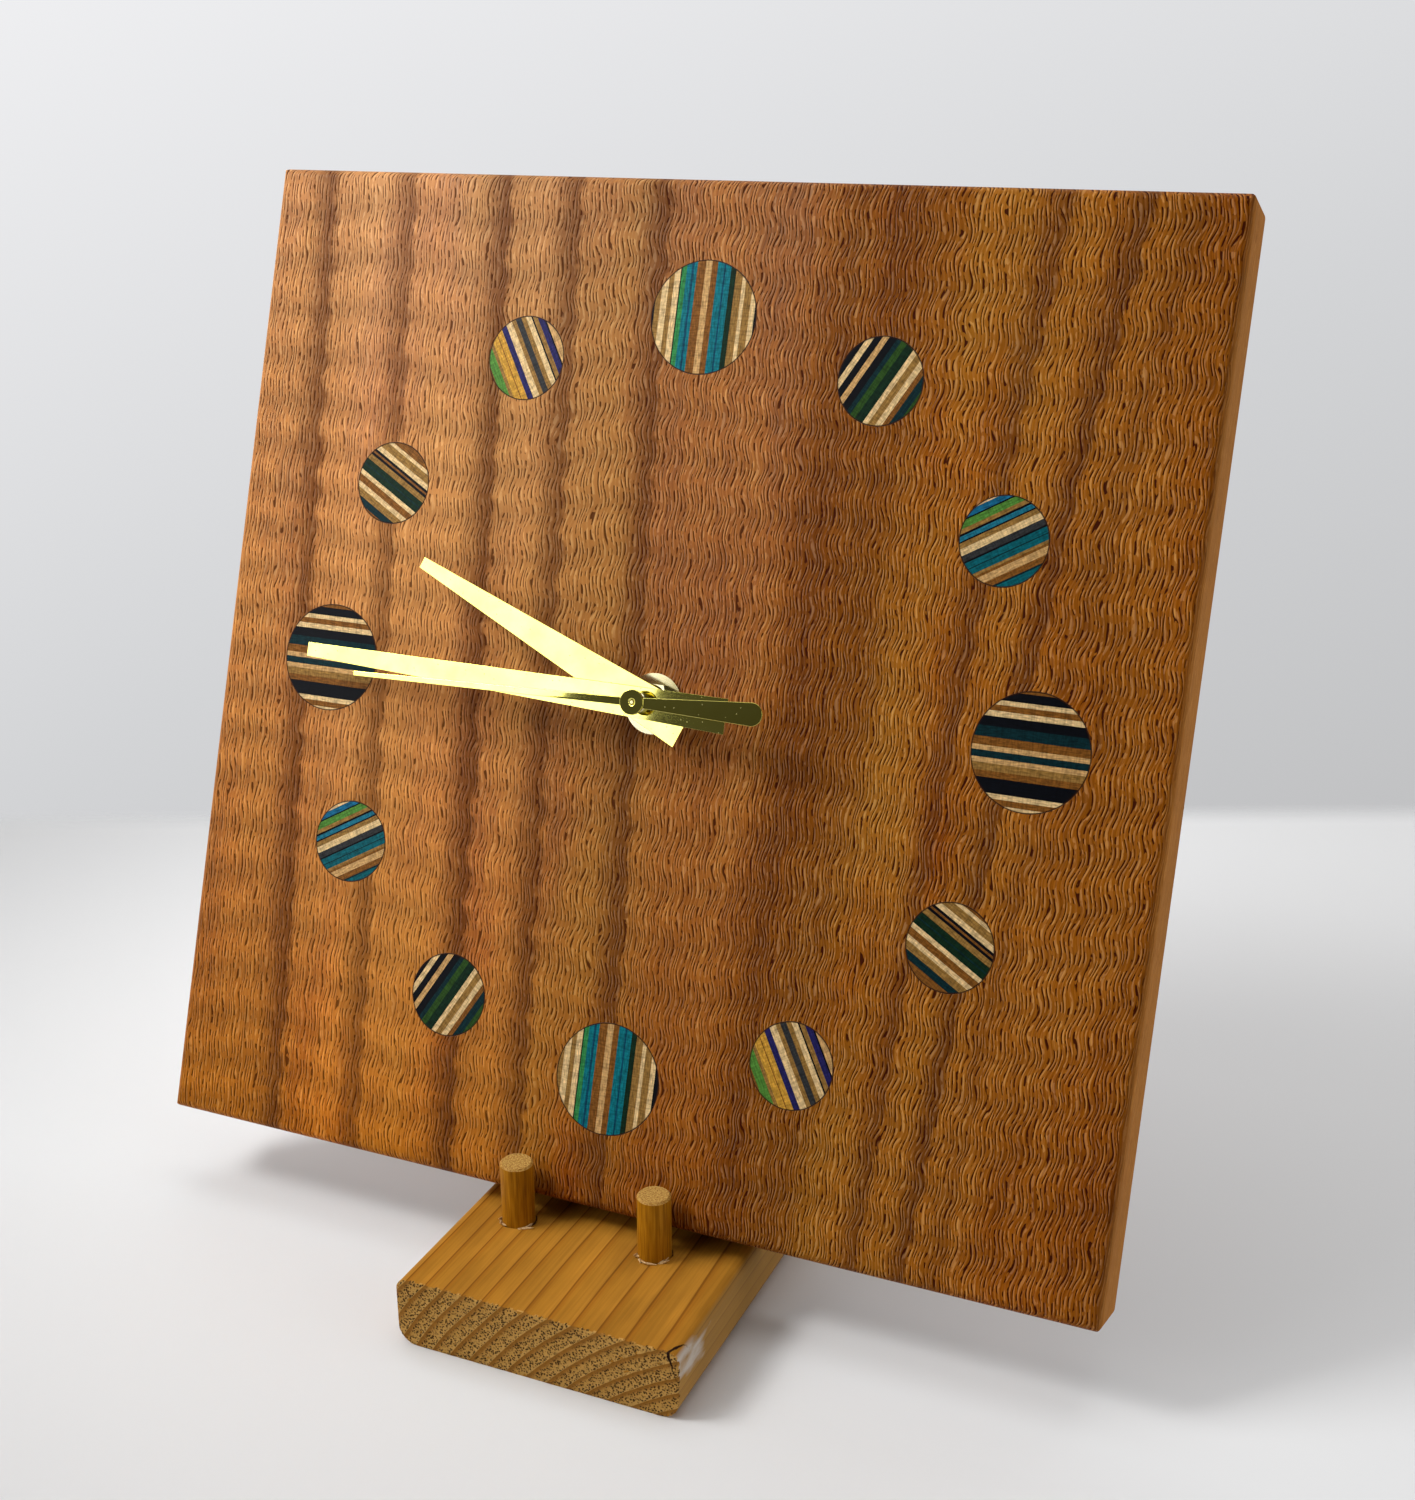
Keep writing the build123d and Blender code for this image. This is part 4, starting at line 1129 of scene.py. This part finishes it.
    def dress(self) -> None:
        """Dress the block and pegs, and model the sawn ends and the torn fibres."""
        planed, sawn = self.finish(False).build(), self.finish(True).build()
        dress("stand_block", planed)
        dowel = DowelFinish().build()
        for node in ("front_peg_left", "front_peg_right", "rear_peg_left", "rear_peg_right"):
            dress(node, dowel)
        self.sawn_end("sawn_end_front", 0, sawn)
        self.sawn_end("sawn_end_rear", 180, sawn)
        torn = MouldedFinish("fir fibres, torn", "#A97F48", "#D2B07C", 0.8).build()
        for node in ("front_peg_left", "front_peg_right"):
            self.torn_fibres(node, torn)


@dataclass
class Hands:
    """The three brass hands with their rolled edges, and the brass that holds them."""

    edge_radius: float = 0.12
    edge_steps: int = 2
    sharp_angle: float = 40.0
    flat_angle: float = 1.0
    merge_gap: float = 1e-3
    bows: tuple[tuple[str, float], ...] = (("hour", -1.2), ("minute", -0.25), ("second", 1.5))

    def rolled(self, node: str, body: str, material: Material) -> None:
        """Replace a brass node by the same shape with its sharp edges rolled over.

        Args:
            node: The node's name.
            body: The body that carries it.
            material: The brass.
        """
        flat, sharp_from = math.radians(self.flat_angle), math.radians(self.sharp_angle)
        shape = bmesh.new()
        shape.from_mesh(frame["nodes"][node].data)
        bmesh.ops.remove_doubles(shape, verts=shape.verts, dist=MM * self.merge_gap)
        bmesh.ops.dissolve_limit(shape, angle_limit=flat, verts=shape.verts, edges=shape.edges)
        sharp = [e for e in shape.edges if e.is_manifold and e.calc_face_angle(0) > sharp_from]
        bmesh.ops.bevel(
            shape, geom=sharp, offset=self.edge_radius * MM, offset_type="OFFSET", segments=self.edge_steps,
            profile=0.5, affect="EDGES", material=-1, clamp_overlap=True,
        )
        piece = make_piece(node + "_rolled", shape, body, material, crease=60.0)
        piece.modifiers.new("flat faces stay flat", "WEIGHTED_NORMAL").keep_sharp = True
        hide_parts(node)

    def dress(self) -> None:
        """Roll the hands' edges and dress the brass of the hub."""
        for name, bow in self.bows:
            brass = BrassFinish(name=f"brass, polished, {name} hand", bow=bow)
            self.rolled(name + "_hand", name + "_arbor", brass.build())
        turned = BrassFinish("brass, turned", "#D8CC98", "#EEE5BE", roughness=0.16, dust_share=0.02).build()
        hub = ("minute_nut", "dial_nut", "dial_washer", "threaded_bush")
        for node in (*hub, "hour_wheel", "minute_wheel", "second_wheel"):
            dress(node, turned)


@dataclass
class Movement:
    """The quartz movement in the back of the board, and its cell."""

    def finishes(self) -> dict[str, MouldedFinish]:
        """Choose the movement's finishes, most of them moulded.

        Returns:
            The finish of each node.
        """
        case = MouldedFinish("ABS, moulded black", "#17181A", "#222326", 0.5)
        plate = MouldedFinish("acetal, natural", "#D9D5C6", "#E6E2D4", 0.45, relief=0.01)
        gear = MouldedFinish("acetal, moulded white", "#DAD8D0", "#EAE8E0", 0.4, relief=0.01)
        steel = MouldedFinish("spring steel, nickelled", "#A9A9A4", "#C2C2BC", 0.3, metallic=1.0, stretch=6.0)
        cell = MouldedFinish("steel cell in a shrunk sleeve", "#6E7174", "#85888B", 0.35, metallic=0.5)
        iron = MouldedFinish("soft iron, stamped", "#7C7A76", "#939089", 0.4, metallic=1.0, stretch=4.0)
        return {
            "movement_case": case, "movement_back_cover": case, "train_plate": plate, "coil_bobbin": plate,
            "third_wheel": gear, "intermediate_wheel": gear, "rotor_pinion": gear, "motion_wheel": gear,
            "setting_knob": MouldedFinish("ABS, moulded white", "#D6D5CF", "#E4E3DD", 0.45),
            "dial_gasket": MouldedFinish("rubber, cut sheet", "#1B1A19", "#2A2827", 0.85, relief=0.05),
            "rotor": MouldedFinish("ferrite, sintered", "#3A3A3C", "#4C4B4C", 0.6, metallic=0.4),
            "stator": iron, "coil_core": iron,
            "coil_winding": MouldedFinish(
                "enamelled copper wire, wound", "#8A4A22", "#C27A42", 0.35, grain=0.25, relief=0.08,
                metallic=0.8, stretch=0.3,
            ),
            "circuit_board": MouldedFinish("glass laminate, lacquered green", "#2F6E48", "#3F8859", 0.45),
            "quartz_crystal": MouldedFinish("drawn steel can", "#B4B4B0", "#CFCFCA", 0.25, metallic=1.0),
            "control_chip": MouldedFinish("epoxy drop, cured", "#121212", "#1E1E1E", 0.3),
            "battery": cell, "battery_contact_positive": steel, "battery_contact_negative": steel,
        }

    def dress(self) -> None:
        """Dress every node of the movement, one material for each finish."""
        made: dict[str, Material] = {}
        for node, finish in self.finishes().items():
            if finish.name not in made:
                made[finish.name] = finish.build()
            dress(node, made[finish.name])


@dataclass
class Studio:
    """A pale table in front of a pale wall, soft light from the upper left, and the camera."""

    dial: DialFrame
    camera_place: Triple = (230.027, -475.767, 354.749)
    camera_aim: Triple = (11.61, 19.566, 157.983)
    camera_roll: float = -0.288
    camera_near: float = 0.01
    lens: float = 47.115
    sensor: float = 36.0
    table_reach: float = 897.0
    table_half_width: float = 4000.0
    table_front: float = 3000.0
    table_fade: float = 30.0
    wall_rise: float = 1.154
    wall_aside: float = 0.415
    wall_level: float = 0.746
    air_strength: float = 0.9

    def camera(self) -> None:
        """Set the camera where the photograph was taken."""
        place, aim = Vector(self.camera_place) * MM, Vector(self.camera_aim) * MM
        data = bpy.data.cameras.new("camera")
        data.lens, data.sensor_width = self.lens, self.sensor
        data.clip_start = self.camera_near
        camera = put("camera", data)
        look = (aim - place).to_track_quat("-Z", "Y")
        camera.rotation_mode = "QUATERNION"
        camera.rotation_quaternion = look @ Quaternion(UP, math.radians(self.camera_roll))
        camera.location = place
        bpy.context.scene.camera = camera

    def heading(self) -> Vector:
        """The camera's direction along the table."""
        way = Vector(self.camera_aim) - Vector(self.camera_place)
        return Vector((way.x, way.y, 0)).normalized()

    def table(self) -> None:
        """Lay the table, which ends in a soft line square to the camera's direction."""
        ahead = self.heading()
        aside = ahead.cross(UP)
        below = Vector((self.camera_place[0], self.camera_place[1], 0))
        shape = bmesh.new()
        bmesh.ops.create_grid(shape, x_segments=1, y_segments=1, size=0.5)
        depth = self.table_reach + self.table_front
        middle = below + ahead * (self.table_reach - depth / 2)
        turn = Matrix((aside, ahead, UP)).transposed().to_4x4()
        bmesh.ops.scale(shape, vec=(2 * self.table_half_width * MM, depth * MM, 1), verts=shape.verts)
        bmesh.ops.transform(shape, matrix=Matrix.Translation(middle * MM) @ turn, verts=shape.verts)
        mesh = bpy.data.meshes.new("table")
        shape.to_mesh(mesh)
        shape.free()
        material, add, shader = new_material("pale laminate table")
        place = add("TexCoord")["Object"]
        ahead_of = add("VectorMath", (place, ahead), "DOT_PRODUCT")["Value"]
        edge = (below.dot(ahead) + self.table_reach) * MM
        fill(shader, {"Base Color": "#E0E0E0", "Roughness": 0.55})
        span = (edge - self.table_fade * MM, edge)
        fade = add("MapRange", (ahead_of, *span), interpolation_type="SMOOTHSTEP")[0]
        clear = add("BsdfTransparent")[0]
        surface = add("MixShader", (fade, shader.outputs[0], clear))[0]
        fill(material.node_tree.nodes["Material Output"], {"Surface": surface})
        mesh.materials.append(material)
        put("table", mesh)

    def wall_and_air(self) -> None:
        """Give the world a pale wall for the eye and a soft even light, with a dark room in front."""
        world = bpy.data.worlds.new("studio")
        bpy.context.scene.world = world
        world.use_nodes = True
        world.node_tree.nodes.clear()
        add = partial(add_node, world.node_tree)
        way = add("TexCoord")["Generated"]
        aside = self.heading().cross(UP)
        slope = UP * self.wall_rise - aside * self.wall_aside
        bright = add("VectorMath", (way, slope), "DOT_PRODUCT")["Value"]
        bright = add("Math", (bright, self.wall_level), "ADD")[0]
        wall = add("ValToRGB", (bright,), stops=[(0.0, "#B4B4B5"), (0.5, "#D3D4D6"), (1.0, "#F5F5F7")])[0]
        seen = add("Background", {"Color": wall, "Strength": 1.0})[0]
        front = add("VectorMath", (way, -self.heading()), "DOT_PRODUCT")["Value"]
        room = add("ValToRGB", (front,), stops=[(0.0, "#DCDDDF"), (0.35, "#787878"), (0.72, "#42413A")])[0]
        air = add("Background", {"Color": room, "Strength": self.air_strength})[0]
        path = add("LightPath")
        mixed = add("MixShader", (path["Is Camera Ray"], air, seen))[0]
        add("OutputWorld", {"Surface": mixed})

    def lamp(
        self,
        name: str,
        place: Triple,
        aim: Triple,
        size: tuple[float, float],
        brightness: float,
        spread: float = 180.0,
    ) -> None:
        """Hang a soft box round the dial.

        Args:
            name: The lamp's name.
            place: Metres from the hub, along the clock's axes.
            aim: The point it faces, in the same way.
            size: Width and height in metres.
            brightness: How bright its face is, where 1 is white.
            spread: The angle of its beam, in degrees.
        """
        data = bpy.data.lights.new(name, "AREA")
        data.shape, data.size, data.size_y = "RECTANGLE", size[0], size[1]
        data.energy = brightness * math.pi * size[0] * size[1]
        data.spread = math.radians(spread)
        lamp = put(name, data)
        lamp.location = self.dial.hub + Vector(place)
        lamp.rotation_mode = "QUATERNION"
        lamp.rotation_quaternion = (Vector(aim) - Vector(place)).to_track_quat("-Z", "Y")

    def build(self) -> None:
        """Set up the table, the wall, the lamps and the camera."""
        bpy.context.scene.view_settings.view_transform = "Standard"
        self.camera()
        self.table()
        self.wall_and_air()
        hub = (0.0, 0.0, 0.0)
        self.lamp("overhead softbox", (-0.12, 0.3, 1.1), (-0.12, 0.3, 0.0), (1.2, 1.0), 1.4)
        self.lamp("window on the left", (-0.878, -1.144, 0.413), hub, (0.62, 0.9), 2.9)
        self.lamp("pale wall on the right", (1.3, -0.1, 0.3), hub, (0.9, 0.9), 1.4)
        self.lamp("lamp at the upper left", (-0.45, -0.25, 0.5), (-0.12, 0.03, 0.1), (0.3, 0.3), 3.0, 62)


def main() -> None:
    """Dress the clock and build the studio."""
    logging.basicConfig(level=logging.INFO, format="%(name)s: %(message)s")
    dial = DialFrame.from_joint("minute_turn")
    DialBoard(dial).dress()
    Stand().dress()
    Hands().dress()
    Movement().dress()
    Studio(dial).build()
    LOG.info("studio built")


if __name__ == "__main__":
    main()
